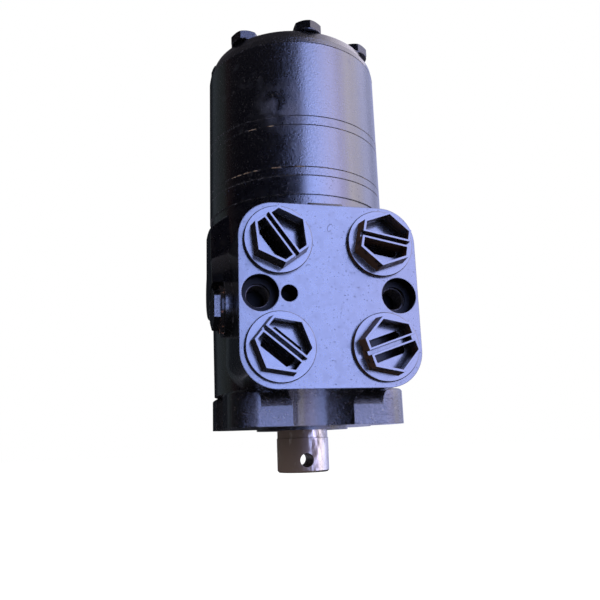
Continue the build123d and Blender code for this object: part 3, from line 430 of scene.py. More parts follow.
def casting_enamel(settings):
    """Gloss black enamel over rough cast iron; machined bores and seats stay bare."""
    paint = Finish("casting_enamel")
    round_edges = paint.soft_edges(0.5)
    radius = paint.from_axis(paint.x, paint.y)
    on_port_face = paint.step(paint.y, PORT_FACE_Y + 0.5, PORT_FACE_Y + 0.1)
    on_neck = paint.math("MULTIPLY", paint.step(paint.z, NECK_Z - 0.2, NECK_Z + 0.1),
                         paint.step(radius, BODY_RADIUS - 0.5, BODY_RADIUS - 0.2))
    smooth = paint.math("MAXIMUM", on_port_face, on_neck)

    # Bare iron in the bore, on the stack's joint face and down the ports
    bare = paint.math("MULTIPLY", paint.step(radius, BARE_RADIUS + 0.2, BARE_RADIUS - 0.1),
                      paint.step(paint.z, BARE_START_Z - 0.1, BARE_START_Z + 0.1))
    joint_face = paint.math("MULTIPLY", paint.step(paint.z, DISTRIBUTION_Z - 0.2, DISTRIBUTION_Z - 0.05),
                            paint.step(radius, BODY_RADIUS - 0.1, BODY_RADIUS - 0.3))
    bare = paint.math("MAXIMUM", bare, joint_face)
    behind_face = paint.step(paint.y, PORT_FACE_Y + 0.2, PORT_FACE_Y + 0.6)
    in_block = paint.step(paint.y, PORT_FACE_Y + BLOCK_HOLE_DEPTH + 2.0, PORT_FACE_Y + BLOCK_HOLE_DEPTH + 1.0)
    behind_face = paint.math("MULTIPLY", behind_face, in_block)
    threads = 0.0
    for centre in PORT_CENTRES.values():
        across = paint.math("SUBTRACT", paint.x, centre.x)
        up = paint.math("SUBTRACT", paint.z, centre.z)
        in_port = paint.step(paint.from_axis(across, up), PORT_RADIUS + 0.4, PORT_RADIUS + 0.1)
        in_port = paint.math("MULTIPLY", in_port, behind_face)
        bare = paint.math("MAXIMUM", bare, in_port)
        ridges = paint.math("MULTIPLY", paint.thread(across, up, paint.y, PORT_PITCH), in_port)
        threads = paint.math("ADD", threads, ridges)

    # Painted shade: the two counterbores and the locating hole are made dull, with little edge lightening, so
    # they show black inside
    from_hole = paint.from_axis(paint.math("ABSOLUTE", paint.x), paint.z, BLOCK_HOLE_OFFSET, PORT_MIDDLE.z)
    hole_painted_shade = paint.step(from_hole, COUNTERBORE_RADIUS + 0.6, COUNTERBORE_RADIUS + 0.2)
    from_locating = paint.from_axis(paint.x, paint.z, LOCATING_HOLE_X, PORT_MIDDLE.z)
    locating_hole_painted_shade = paint.step(from_locating, LOCATING_HOLE_RADIUS + 0.6, LOCATING_HOLE_RADIUS + 0.2)
    hole_painted_shade = paint.math("MULTIPLY", paint.math("MAXIMUM", hole_painted_shade, locating_hole_painted_shade), behind_face)

    # Brown stains, most of them low on the flange, and lighter colour along edges, partly enamel worn thin
    # and partly a painted highlight
    stain_cloud = paint.step(paint.noise(4.0, 4.0, 0.65), 0.54, 0.68)
    low_down = paint.step(paint.z, 19.0, 11.0)
    stain = paint.math("MULTIPLY", stain_cloud, paint.between(low_down, 0.1, 0.35))
    colour = paint.blend(stain, settings.colour, settings.stain_colour)
    worn_and_highlit_cloud = paint.step(paint.noise(2.4, 3.0, 0.7), 0.5, 0.62)
    worn_and_highlit = paint.math("MULTIPLY", paint.edge_mask(round_edges), worn_and_highlit_cloud)
    worn_and_highlit = paint.math("MULTIPLY", worn_and_highlit, paint.between(hole_painted_shade, 0.7, 0.1))
    colour = paint.blend(worn_and_highlit, colour, settings.edge_wear_and_highlight_colour)
    colour = paint.blend(bare, colour, (0.33, 0.31, 0.3, 1.0))

    # Grain and pits of the casting, lumps low on the flange, and small dents in the smooth faces
    grain = paint.noise(settings.grain_size, 3.0, 0.6)
    pits = paint.step(paint.cells(2.6), 0.28, 0.05)
    pits = paint.math("MULTIPLY", pits, paint.step(paint.noise(5.0), 0.5, 0.62))
    rough_height = paint.math("SUBTRACT", grain, paint.math("MULTIPLY", pits, 0.8))
    lumps = paint.math("MULTIPLY", paint.noise(1.7, 5.0, 0.7), low_down)
    rough_height = paint.math("ADD", rough_height, paint.math("MULTIPLY", lumps, 4.5))
    depth = paint.between(smooth, 1.0, 0.15)
    depth = paint.between(bare, depth, 0.03)
    height = paint.math("MULTIPLY", rough_height, depth)
    dents = paint.step(paint.noise(1.1, 2.0, 0.6), 0.66, 0.72)
    height = paint.math("SUBTRACT", height, paint.math("MULTIPLY", dents, smooth))
    swell = paint.bump(paint.noise(14.0, 1.0), 0.10, round_edges)
    normal = paint.bump(height, settings.grain_depth, swell)
    normal = paint.bump(threads, 0.5, normal)

    roughness = paint.between(paint.noise(3.5, 3.0, 0.7), settings.gloss * 0.7, settings.gloss * 1.5)
    roughness = paint.math("MULTIPLY", roughness, paint.between(low_down, 1.0, 0.6))
    roughness = paint.math("ADD", roughness, paint.math("MULTIPLY", stain, 0.4))
    mottle = paint.step(paint.noise(5.0, 4.0, 0.7), 0.4, 0.7)
    roughness = paint.math("ADD", roughness, paint.math("MULTIPLY", mottle, 0.06))
    roughness = paint.between(bare, roughness, 0.38)
    roughness = paint.between(hole_painted_shade, roughness, 0.5)
    # Dull where the iron is bare, and in the holes as painted shade
    dull = paint.math("MAXIMUM", bare, hole_painted_shade)
    return paint.surface(base_color=colour, metallic=paint.math("MULTIPLY", bare, 0.85), roughness=roughness,
                         normal=normal, ior=paint.between(dull, ENAMEL_IOR, 1.35),
                         coat_weight=paint.between(dull, 1.0, 0.0), coat_roughness=0.1)


def ring_enamel(settings, name, ior, coat):
    """Gloss black enamel over turned steel, with orange peel and handling smears; it is bare inside."""
    paint = Finish(name)
    round_edges = paint.soft_edges(0.35)
    radius = paint.from_axis(paint.x, paint.y)
    outside = paint.step(radius, BODY_RADIUS - 0.6, BODY_RADIUS - 0.4)
    on_cover = paint.step(paint.z, COVER_Z + 0.05, COVER_Z + 0.3)
    on_boss_plug = paint.step(paint.x, 2.6 - BODY_RADIUS, 2.2 - BODY_RADIUS)
    painted = paint.math("MAXIMUM", paint.math("MAXIMUM", outside, on_cover), on_boss_plug)

    # Pale handling smears, the largest high on the front
    smear_cloud = paint.step(paint.noise(16.0, 3.0, 0.6, (1.0, 1.0, 0.8)), 0.54, 0.72)
    front = paint.step(paint.y, -0.6 * BODY_RADIUS, -0.8 * BODY_RADIUS)
    from_smear = paint.from_axis(paint.x, paint.z, SMEAR_X, SMEAR_Z)
    large = paint.math("MULTIPLY", paint.step(from_smear, 17.0, 5.0), front)
    smear_cloud = paint.math("MAXIMUM", smear_cloud, large)
    smear_streaks = paint.step(paint.noise(7.0, 5.0, 0.65, (1.0, 1.0, 0.7)), 0.38, 0.62)
    smear = paint.math("MULTIPLY", smear_cloud, smear_streaks)
    dust = paint.step(paint.noise(0.8, 2.0, 0.5), 0.66, 0.72)
    # Lighter colour along edges: partly enamel worn thin, partly a painted highlight
    worn_and_highlit_cloud = paint.step(paint.noise(2.0, 3.0, 0.7), 0.48, 0.6)
    worn_and_highlit = paint.math("MULTIPLY", paint.edge_mask(round_edges), worn_and_highlit_cloud)
    colour = paint.blend(paint.math("MULTIPLY", smear, 0.12), settings.colour, (0.12, 0.12, 0.17, 1.0))
    colour = paint.blend(paint.math("MULTIPLY", dust, 0.25), colour, (0.2, 0.18, 0.2, 1.0))
    colour = paint.blend(paint.math("MULTIPLY", worn_and_highlit, 0.7), colour, settings.edge_wear_and_highlight_colour)
    colour = paint.blend(painted, (0.36, 0.34, 0.33, 1.0), colour)

    peel = paint.noise(0.9, 3.0, 0.6)
    turning = paint.noise(1.0, 1.0, 0.5, (0.05, 0.05, 4.0))
    skin = paint.math("ADD", paint.math("MULTIPLY", peel, 0.8), paint.math("MULTIPLY", turning, 0.08))
    swell = paint.bump(paint.noise(18.0, 1.0), 0.12, round_edges)
    waves = paint.bump(paint.noise(5.0, 2.0, 0.6), 0.05, swell)
    normal = paint.bump(skin, 0.3, waves)
    roughness = paint.between(paint.noise(4.0, 3.0, 0.7), settings.gloss * 0.9, settings.gloss * 1.3)
    roughness = paint.math("ADD", roughness, paint.math("MULTIPLY", smear, 0.3))
    roughness = paint.between(painted, 0.34, roughness)
    metallic = paint.between(painted, 0.9, 0.0)
    return paint.surface(base_color=colour, metallic=metallic, roughness=roughness, normal=normal,
                         ior=ior, coat_weight=coat, coat_roughness=0.1)


def shaft_steel(settings):
    """Ground steel with fine turning marks and a brown film, heavier on the left side as painted shade."""
    steel = Finish("shaft_steel")
    round_edges = steel.soft_edges(0.3)
    film_cloud = steel.noise(4.0, 4.0, 0.65, (1.0, 1.0, 0.3))
    # Painted shade: the film is heavier on the left side, which darkens the shaft there
    left = steel.step(steel.x, 8.0, -4.0)
    film_and_shade = steel.step(steel.math("ADD", film_cloud, steel.math("MULTIPLY", left, 0.34)), 0.46, 0.78)
    below_flange = steel.step(steel.z, 6.0, -1.0)
    film_and_shade = steel.math("MULTIPLY", film_and_shade, below_flange)
    colour = steel.blend(film_and_shade, settings.steel_colour, settings.tarnish_and_shade_colour)
    spots = steel.step(steel.noise(1.1, 3.0, 0.7), 0.64, 0.72)
    colour = steel.blend(steel.math("MULTIPLY", spots, 0.5), colour, (0.09, 0.045, 0.03, 1.0))
    turning = steel.noise(1.0, 2.0, 0.6, (0.12, 0.12, 9.0))
    scratches = steel.noise(1.2, 3.0, 0.6, (1.0, 1.0, 0.3))
    marks = steel.math("ADD", turning, steel.math("MULTIPLY", scratches, 0.5))
    normal = steel.bump(marks, 0.006, round_edges)
    roughness = steel.between(steel.math("MAXIMUM", film_and_shade, spots), 0.24, 0.46)
    metallic = steel.between(film_and_shade, 0.95, 0.4)
    return steel.surface(base_color=colour, metallic=metallic, roughness=roughness, normal=normal)


def hardened_steel():
    """Bright ground steel with an oily sheen, for what runs inside."""
    steel = Finish("hardened_steel")
    cloud = steel.noise(5.0, 3.0, 0.6)
    colour = steel.blend(cloud, (0.42, 0.42, 0.43, 1.0), (0.58, 0.57, 0.56, 1.0))
    marks = steel.noise(0.5, 2.0, 0.6)
    roughness = steel.between(cloud, 0.16, 0.3)
    return steel.surface(base_color=colour, metallic=1.0, roughness=roughness,
                         normal=steel.bump(marks, 0.004, steel.soft_edges(0.25)))


def spring_steel():
    """Blue-black tempered wire and leaves."""
    steel = Finish("spring_steel")
    cloud = steel.noise(3.0, 3.0, 0.6)
    colour = steel.blend(cloud, (0.1, 0.11, 0.15, 1.0), (0.2, 0.19, 0.22, 1.0))
    return steel.surface(base_color=colour, metallic=0.9, roughness=steel.between(cloud, 0.25, 0.4),
                         normal=steel.bump(steel.noise(0.4), 0.004))


def cage_brass(settings):
    """Pressed brass with a dull film."""
    brass = Finish("cage_brass")
    cloud = brass.noise(3.0, 4.0, 0.65)
    colour = brass.blend(brass.step(cloud, 0.45, 0.7), settings.brass_colour, (0.3, 0.18, 0.07, 1.0))
    return brass.surface(base_color=colour, metallic=1.0, roughness=brass.between(cloud, 0.25, 0.5),
                         normal=brass.bump(brass.noise(0.6), 0.008, brass.soft_edges(0.2)))


def washer_copper(settings):
    """Copper with black enamel splashed over most of it."""
    copper = Finish("washer_copper")
    round_edges = copper.soft_edges(0.3)
    cloud = copper.noise(2.6, 4.0, 0.65)
    splashed = copper.step(cloud, 0.64, 0.58)
    colour = copper.blend(splashed, settings.copper_colour, (0.012, 0.011, 0.014, 1.0))
    dull = copper.blend(copper.step(copper.noise(0.9, 2.0), 0.5, 0.7), colour, (0.2, 0.1, 0.09, 1.0))
    colour = copper.blend(splashed, dull, colour)
    height = copper.math("ADD", copper.math("MULTIPLY", splashed, 0.7), copper.noise(0.5, 2.0))
    return copper.surface(base_color=colour, metallic=copper.between(splashed, 0.9, 0.0),
                          roughness=copper.between(splashed, 0.42, 0.2),
                          normal=copper.bump(height, 0.03, round_edges))


def seal_rubber():
    """Black oily nitrile rubber."""
    rubber = Finish("seal_rubber")
    cloud = rubber.noise(2.0, 4.0, 0.6)
    colour = rubber.blend(cloud, (0.014, 0.014, 0.015, 1.0), (0.03, 0.028, 0.026, 1.0))
    return rubber.surface(base_color=colour, roughness=rubber.between(cloud, 0.35, 0.6), sheen_weight=0.15,
                          normal=rubber.bump(rubber.noise(0.25, 2.0), 0.012))


def plug_plastic(settings, centre, brown):
    """Moulded plastic with enamel over it; brown is the share of its walls that the enamel missed."""
    plastic = Finish("plug_plastic")
    round_edges = plastic.soft_edges(0.22)
    facing = plastic.add("ShaderNodeNewGeometry").outputs["Normal"]
    front = plastic.add("ShaderNodeSeparateXYZ", {"Vector": facing}).outputs["Y"]
    on_wall = plastic.step(front, -0.8, -0.5)
    outward = plastic.step(plastic.y, PORT_FACE_Y + 0.3, PORT_FACE_Y - 1.0)
    barrel = plastic.step(plastic.y, PORT_FACE_Y + 0.1, PORT_FACE_Y + 0.6)

    # The enamel missed patches of the walls, the hollow inside and the threaded barrel
    cloud = plastic.step(plastic.noise(3.2, 4.0, 0.65), 0.62 - brown * 0.25, 0.78 - brown * 0.25)
    missed = plastic.math("MULTIPLY", plastic.math("MULTIPLY", on_wall, cloud), outward)
    missed = plastic.math("MULTIPLY", missed, brown)
    missed = plastic.math("MAXIMUM", missed, plastic.math("MULTIPLY", barrel, 0.2))
    # Lighter lilac colour along edges, strongest on the rim: partly enamel worn thin, partly a painted
    # highlight
    on_rim = plastic.step(plastic.y, RIM_FACE_Y + 1.2, RIM_FACE_Y + 0.3)
    worn_and_highlit_cloud = plastic.step(plastic.noise(1.6, 3.0), 0.4, 0.55)
    worn_and_highlit = plastic.math("MULTIPLY", plastic.edge_mask(round_edges), worn_and_highlit_cloud)
    worn_and_highlit = plastic.math("MULTIPLY", worn_and_highlit, plastic.between(on_rim, 0.3, 0.9))
    colour = plastic.blend(missed, settings.colour, settings.bare_colour)
    colour = plastic.blend(worn_and_highlit, colour, (0.26, 0.25, 0.32, 1.0))

    # Broken ring of enamel flakes round the flange, and the thread's ridges on the barrel
    across = plastic.math("SUBTRACT", plastic.x, centre.x)
    up = plastic.math("SUBTRACT", plastic.z, centre.z)
    reach = plastic.from_axis(across, up)
    peel = plastic.noise(0.9, 2.0, 0.55)
    flakes = plastic.step(plastic.noise(0.8, 3.0), 0.5, 0.6)
    at_rim = plastic.step(reach, PLUG_FLANGE_RADIUS - 0.7, PLUG_FLANGE_RADIUS)
    flakes = plastic.math("MULTIPLY", flakes, at_rim)
    height = plastic.math("ADD", plastic.math("MULTIPLY", peel, 0.35), plastic.math("MULTIPLY", flakes, 0.5))
    on_barrel = plastic.math("MULTIPLY", barrel, plastic.step(reach, PORT_RADIUS - 0.5, PORT_RADIUS - 0.3))
    ridges = plastic.math("MULTIPLY", plastic.thread(across, up, plastic.y, PORT_PITCH), on_barrel)
    normal = plastic.bump(ridges, 0.5, plastic.bump(height, 0.03, round_edges))

    roughness = plastic.between(plastic.noise(2.6, 3.0), 0.14, 0.3)
    roughness = plastic.math("ADD", roughness, plastic.math("MULTIPLY", missed, 0.25))
    # Painted shade: the side walls and the pockets are made dull so they show dark
    pocket_painted_shade = plastic.math("MULTIPLY", barrel, plastic.step(reach, PORT_RADIUS - 0.5, PORT_RADIUS - 0.8))
    dull = plastic.math("MAXIMUM", plastic.math("MULTIPLY", on_wall, outward), pocket_painted_shade)
    return plastic.surface(base_color=colour, roughness=roughness, normal=normal,
                           ior=plastic.between(dull, ENAMEL_IOR, 1.35),
                           coat_weight=plastic.between(dull, 1.0, 0.05), coat_roughness=0.1)


def thread_iron():
    """Freshly cut iron, dark with oil."""
    iron = Finish("thread_iron")
    cloud = iron.noise(1.5, 3.0, 0.6)
    colour = iron.blend(cloud, (0.05, 0.045, 0.05, 1.0), (0.16, 0.15, 0.16, 1.0))
    return iron.surface(base_color=colour, metallic=0.7, roughness=iron.between(cloud, 0.2, 0.4),
                        normal=iron.bump(iron.noise(0.3), 0.01))


def joint_compound():
    """Dried cream sealing compound with rusty specks."""
    paste = Finish("joint_compound")
    cloud = paste.noise(0.9, 4.0, 0.7)
    colour = paste.blend(paste.step(cloud, 0.42, 0.62), (0.36, 0.27, 0.2, 1.0), (0.1, 0.05, 0.035, 1.0))
    return paste.surface(base_color=colour, roughness=0.6, normal=paste.bump(paste.noise(0.3, 2.0), 0.03))


def dress(material, *nodes):
    """Give CAD nodes one material."""
    for name in nodes:
        node = frame["nodes"][name]
        node.data.materials.clear()
        node.data.materials.append(material)


# Meshes


def new_piece(name, mesh, material, body):
    """Piece from a finished bmesh, in millimetres of the unit's own frame, that rides on a body."""
    bmesh.ops.recalc_face_normals(mesh, faces=mesh.faces)
    bmesh.ops.scale(mesh, vec=(MM, MM, MM), verts=mesh.verts)
    data = bpy.data.meshes.new(name)
    mesh.to_mesh(data)
    mesh.free()
    data.shade_smooth()
    data.materials.append(material)
    piece = bpy.data.objects.new(name, data)
    bpy.context.scene.collection.objects.link(piece)
    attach(piece, body)


def skin_rings(mesh, rings):
    """Closed tube through rings of points, capped at both ends."""
    made = [[mesh.verts.new(point) for point in ring] for ring in rings]
    count = len(rings[0])
    for here, ahead in zip(made, made[1:]):
        for side in range(count):
            after = (side + 1) % count
            mesh.faces.new((here[side], here[after], ahead[after], ahead[side]))
    mesh.faces.new(made[0])
    mesh.faces.new(made[-1][::-1])


def cross_directions(axis):
    """Two directions at right angles to an axis and to each other."""
    axis = Vector(axis).normalized()
    first = axis.orthogonal().normalized()
    return first, axis.cross(first)


def cut_thread(mesh, mouth, axis, radius, pitch, length, steps):
    """Ridge of an internal thread from a hole's mouth along axis; it fades out over its end turns."""
    mouth = Vector(mouth)
    axis = Vector(axis).normalized()
    first, second = cross_directions(axis)
    turns = length / pitch - 1
    total = int(turns * steps)
    root = 0.06
    rings = []
    for index in range(total + 1):
        turn = index / steps
        fade = min(1.0, turn * 3, (turns - turn) * 3)
        fade = max(0.08, fade)
        angle = 2 * math.pi * turn
        outward = first * math.cos(angle) + second * math.sin(angle)
        base = mouth + axis * (pitch * (turn + 0.5))
        crest = radius - THREAD_DEPTH * fade
        half_base = pitch * 0.42 * fade
        half_crest = pitch * 0.08 * fade
        rings.append((
            base + outward * (radius + root) - axis * half_base,
            base + outward * crest - axis * half_crest,
            base + outward * crest + axis * half_crest,
            base + outward * (radius + root) + axis * half_base,
        ))
    skin_rings(mesh, rings)


def ring_bead(mesh, level, start, end, width, proud, draw):
    """Irregular bead of compound round the stack at one height, between two angles from -Y towards +X."""
    degrees_apart = 1.1
    count = max(3, int((end - start) / degrees_apart))
    rings = []
    for index in range(count + 1):
        share = index / count
        taper = max(0.12, math.sin(math.pi * share) ** 0.5)
        angle = math.radians(start + (end - start) * share)
        outward = Vector((math.sin(angle), -math.cos(angle), 0))
        half = width / 2 * taper * draw.uniform(0.55, 1.25)
        lift = proud * taper * draw.uniform(0.4, 1.2)
        middle = outward * BODY_RADIUS + Vector((0, 0, level + draw.uniform(-0.05, 0.05)))
        up = Vector((0, 0, 1))
        rings.append((
            middle - outward * JOINT_GROOVE,
            middle - outward * 0.05 - up * half,
            middle + outward * lift * 0.7 - up * half * 0.6,
            middle + outward * lift,
            middle + outward * lift * 0.7 + up * half * 0.6,
            middle - outward * 0.05 + up * half,
        ))
    skin_rings(mesh, rings)


def face_bead(mesh, points, width, proud):
    """Thin raised scar in the enamel of the port face, through points given in X and Z."""
    rings = []
    last = len(points) - 1
    for index, (x, z) in enumerate(points):
        before = Vector((*points[max(index - 1, 0)], 0))
        after = Vector((*points[min(index + 1, last)], 0))
        along = (after - before).normalized()
        side = Vector((-along.y, 0, along.x))
        taper = 0.35 if index in (0, last) else 1.0
        middle = Vector((x, PORT_FACE_Y, z))
        rings.append((
            middle + side * width / 2 * taper + Vector((0, 0.05, 0)),
            middle + side * width / 4 * taper - Vector((0, proud * taper, 0)),
            middle - side * width / 4 * taper - Vector((0, proud * taper, 0)),
            middle - side * width / 2 * taper + Vector((0, 0.05, 0)),
        ))
    skin_rings(mesh, rings)


# Operators, one for each group of like pieces


class PaintHousing(bpy.types.Operator):
    """Finish the cast housing"""

    bl_idname = "steering_unit.paint_housing"
    bl_label = "Paint housing"

    def execute(self, context):
        dress(casting_enamel(context.scene.steering_unit.paint), "housing")
        return {"FINISHED"}


class PaintStack(bpy.types.Operator):
    """Finish the plates, gear rings, cover, bolts and relief valve plug"""

    bl_idname = "steering_unit.paint_stack"
    bl_label = "Paint stack and bolts"

    def execute(self, context):
        paint = context.scene.steering_unit.paint
        thick = ring_enamel(paint, "ring_enamel", ENAMEL_IOR, 1.0)
        dress(thick, "distribution_plate", "lower_gear_rim", "spacer_plate", "upper_gear_rim", "end_cover")
        dress(thick, "relief_plug")
        thin = ring_enamel(paint, "bolt_enamel", THIN_ENAMEL_IOR, 0.4)
        dress(thin, "cover_bolts", "check_valve_bolt", "bolt_washers")
        return {"FINISHED"}


class FinishShaft(bpy.types.Operator):
    """Finish the spool with its shaft end, and the sleeve"""

    bl_idname = "steering_unit.finish_shaft"
    bl_label = "Finish shaft and sleeve"

    def execute(self, context):
        dress(shaft_steel(context.scene.steering_unit.metal), "spool", "sleeve")
        return {"FINISHED"}


class FinishRunningParts(bpy.types.Operator):
    """Finish the gears, shafts, bearing and valve pieces inside"""

    bl_idname = "steering_unit.finish_running_parts"
    bl_label = "Finish running parts"

    def execute(self, context):
        metal = context.scene.steering_unit.metal
        hard = hardened_steel()
        dress(hard, "lower_gear_wheel", "upper_gear_wheel", "cardan_shaft", "coupling_shaft", "rotor_spacer")
        dress(hard, "bearing_outer_race", "bearing_inner_race", "bearing_rollers", "cross_pin", "check_ball")
        dress(hard, "relief_cone", "relief_seat", "relief_adjusting_screw", "check_ball_bushing")
        dress(spring_steel(), "centring_springs", "spring_ring", "relief_spring")
        dress(cage_brass(metal), "bearing_cage")
        dress(washer_copper(metal), "relief_plug_washer")
        return {"FINISHED"}


class FinishSeals(bpy.types.Operator):
    """Finish the rubber seals"""

    bl_idname = "steering_unit.finish_seals"
    bl_label = "Finish seals"

    def execute(self, context):
        dress(seal_rubber(), "shaft_seal", "dust_seal", "housing_seal", "lower_rim_seal_below",
              "lower_rim_seal_above", "upper_rim_seal_below", "upper_rim_seal_above")
        return {"FINISHED"}


class FinishPlugs(bpy.types.Operator):
    """Finish the four port plugs, browner on the right"""

    bl_idname = "steering_unit.finish_plugs"
    bl_label = "Finish port plugs"

    def execute(self, context):
        settings = context.scene.steering_unit.plug
        for port in PORTS:
            brown = 1.0 if port.endswith("right") else 0.25
            dress(plug_plastic(settings, PORT_CENTRES[port], brown), f"port_plug_{port}")
        return {"FINISHED"}


class CutThreads(bpy.types.Operator):
    """Thread the two holes beside the ports and the four holes in the flange"""

    bl_idname = "steering_unit.cut_threads"
    bl_label = "Cut threads"

    def execute(self, context):
        settings = context.scene.steering_unit.thread
        iron = thread_iron()
        into_block = (0, 1, 0)
        floor_y = PORT_FACE_Y + COUNTERBORE_DEPTH
        for side, name in ((-1, "left"), (1, "right")):
            mesh = bmesh.new()
            mouth = (side * BLOCK_HOLE_OFFSET, floor_y, PORT_MIDDLE.z)
            cut_thread(mesh, mouth, into_block, BLOCK_HOLE_RADIUS, settings.block_pitch,
                       BLOCK_HOLE_DEPTH - COUNTERBORE_DEPTH, settings.steps)
            new_piece(f"block_hole_thread_{name}", mesh, iron, "housing_body")
        mesh = bmesh.new()
        for x in (-COLUMN_HOLE_OFFSET, COLUMN_HOLE_OFFSET):
            for y in (-COLUMN_HOLE_OFFSET, COLUMN_HOLE_OFFSET):
                cut_thread(mesh, (x, y, 0), (0, 0, 1), COLUMN_HOLE_RADIUS, settings.column_pitch,
                           COLUMN_HOLE_DEPTH, settings.steps)
        new_piece("column_hole_threads", mesh, iron, "housing_body")
        return {"FINISHED"}


class LayCompound(bpy.types.Operator):
    """Leave traces of sealing compound in the joints of the stack"""

    bl_idname = "steering_unit.lay_compound"
    bl_label = "Lay joint compound"

    def execute(self, context):
        draw = random.Random(7)
        paste = joint_compound()
        # Joint height, first and last angle, bead width and share of the joint that shows compound
        stretches = (
            (LOWER_RIM_Z, -56, -14, 0.55, 0.85),
            (LOWER_RIM_Z, -14, 75, 0.28, 0.4),
            (SPACER_Z, -42, -25, 0.4, 0.7),
            (SPACER_Z, 10, 80, 0.28, 0.5),
            (UPPER_RIM_Z, 25, 80, 0.26, 0.45),
            (DISTRIBUTION_Z, 20, 75, 0.28, 0.4),
            (COVER_Z, 15, 80, 0.26, 0.3),
            (LOWER_RIM_Z, 120, 260, 0.35, 0.35),
            (SPACER_Z, 130, 250, 0.3, 0.25),
        )
        proud = 0.1
        mesh = bmesh.new()
        for level, first, last, width, share in stretches:
            angle = first
            while angle < last:
                reach = draw.uniform(2.5, 8.0)
                if draw.random() < share:
                    ring_bead(mesh, level, angle, min(angle + reach, last), width, proud, draw)
                angle += reach + draw.uniform(0.2, 1.5)
        new_piece("joint_compound_traces", mesh, paste, "housing_body")
        return {"FINISHED"}


class ScarPortFace(bpy.types.Operator):
    """Raise a few small scars in the enamel of the port face"""

    bl_idname = "steering_unit.scar_port_face"
    bl_label = "Scar port face"

    def execute(self, context):
        mesh = bmesh.new()
        loop = []
        for index in range(13):
            turn = math.radians(20 + index * 26)
            loop.append((0.6 + 1.1 * math.cos(turn) + 0.5 * math.sin(turn), 84.4 + 1.7 * math.sin(turn)))
        face_bead(mesh, loop, 0.28, 0.07)
        face_bead(mesh, [(-11.2, 66.4), (-10.4, 67.2), (-9.2, 67.3), (-8.8, 66.7)], 0.3, 0.08)
        face_bead(mesh, [(3.4, 44.0), (4.0, 46.4), (4.2, 48.8), (5.0, 50.6)], 0.16, 0.04)
        face_bead(mesh, [(15.6, 64.9), (16.6, 64.4), (17.0, 63.8)], 0.3, 0.06)
        enamel = frame["nodes"]["housing"].data.materials[0]
        new_piece("port_face_scars", mesh, enamel, "housing_body")
        return {"FINISHED"}


def room_material(name, room, first_angle):
    """Glow whose colour changes with the angle round the unit, from first_angle on."""
    card = Finish(name)
    angle = card.math("ARCTAN2", card.x, card.math("MULTIPLY", card.y, -1.0))
    turn = card.math("DIVIDE", card.math("ADD", angle, math.radians(first_angle)), 2 * math.pi)
    ramp = card.add("ShaderNodeValToRGB", {"Fac": turn})
    ramp.color_ramp.interpolation = "EASE"
    stops = ramp.color_ramp.elements
    while len(stops) < len(room):
        stops.new(1.0)
    for stop, (degrees, colour) in zip(stops, room):
        stop.position = degrees / 360
        stop.color = (*colour, 1.0)
    return card.glow(ramp.outputs["Color"])


def ceiling_material(name, radius):
    """Glow that is dark on the left and pale on the right."""
    card = Finish(name)
    share = card.step(card.math("MULTIPLY", card.x, MM), 0.05 * radius, 0.5 * radius)
    return card.glow((0.8, 0.75, 0.9, 1.0), card.between(share, 0.06, 1.6))


def ground_material(name, radius):
    """Glow that is dark under the unit and pale far out."""
    card = Finish(name)
    distance = card.math("MULTIPLY", card.from_axis(card.x, card.y), MM)
    share = card.step(distance, 0.2 * radius, 0.9 * radius)
    return card.glow((0.8, 0.8, 1.0, 1.0), card.between(share, 0.015, 0.2))


def stage_mesh(name, corners, faces, material):
    """Stage object from corners in metres."""
    data = bpy.data.meshes.new(name)
    data.from_pydata(corners, [], faces)
    data.materials.append(material)
    piece = bpy.data.objects.new(name, data)
    bpy.context.scene.collection.objects.link(piece)
    return piece


def square_corners(half, height):
    """Corners of a level square round the unit's axis."""
    return [(-half, -half, height), (half, -half, height), (half, half, height), (-half, half, height)]


def gloss_only(card):
    """Hide a card from everything but reflections."""
    card.visible_camera = False
    card.visible_diffuse = False
    card.visible_shadow = False
    card.visible_transmission = False


def ring_card(name, low, high, radius, material):
    """Card all round the unit that only gloss sees."""
    steps = 72
    corners = []
    for index in range(steps):
        angle = 2 * math.pi * index / steps
        for height in (low, high):
            corners.append((radius * math.sin(angle), -radius * math.cos(angle), height))
    last = len(corners)
    faces = [(start, start + 1, (start + 3) % last, (start + 2) % last) for start in range(0, last, 2)]
    gloss_only(stage_mesh(name, corners, faces, material))


def flat_card(name, height, radius, material):
    """Level card over or under the unit that only gloss sees."""
    gloss_only(stage_mesh(name, square_corners(radius, height), [(0, 1, 2, 3)], material))


def soft_lamp(name, place, width, power):
    """Square area lamp aimed at the unit's middle; it doesn't show in gloss."""
    data = bpy.data.lights.new(name, "AREA")
    data.size = width
    data.energy = power
    lamp = bpy.data.objects.new(name, data)
    bpy.context.scene.collection.objects.link(lamp)
    lamp.location = place
    lamp.rotation_euler = (LAMP_TARGET - Vector(place)).to_track_quat("-Z", "Y").to_euler()
    lamp.visible_glossy = False


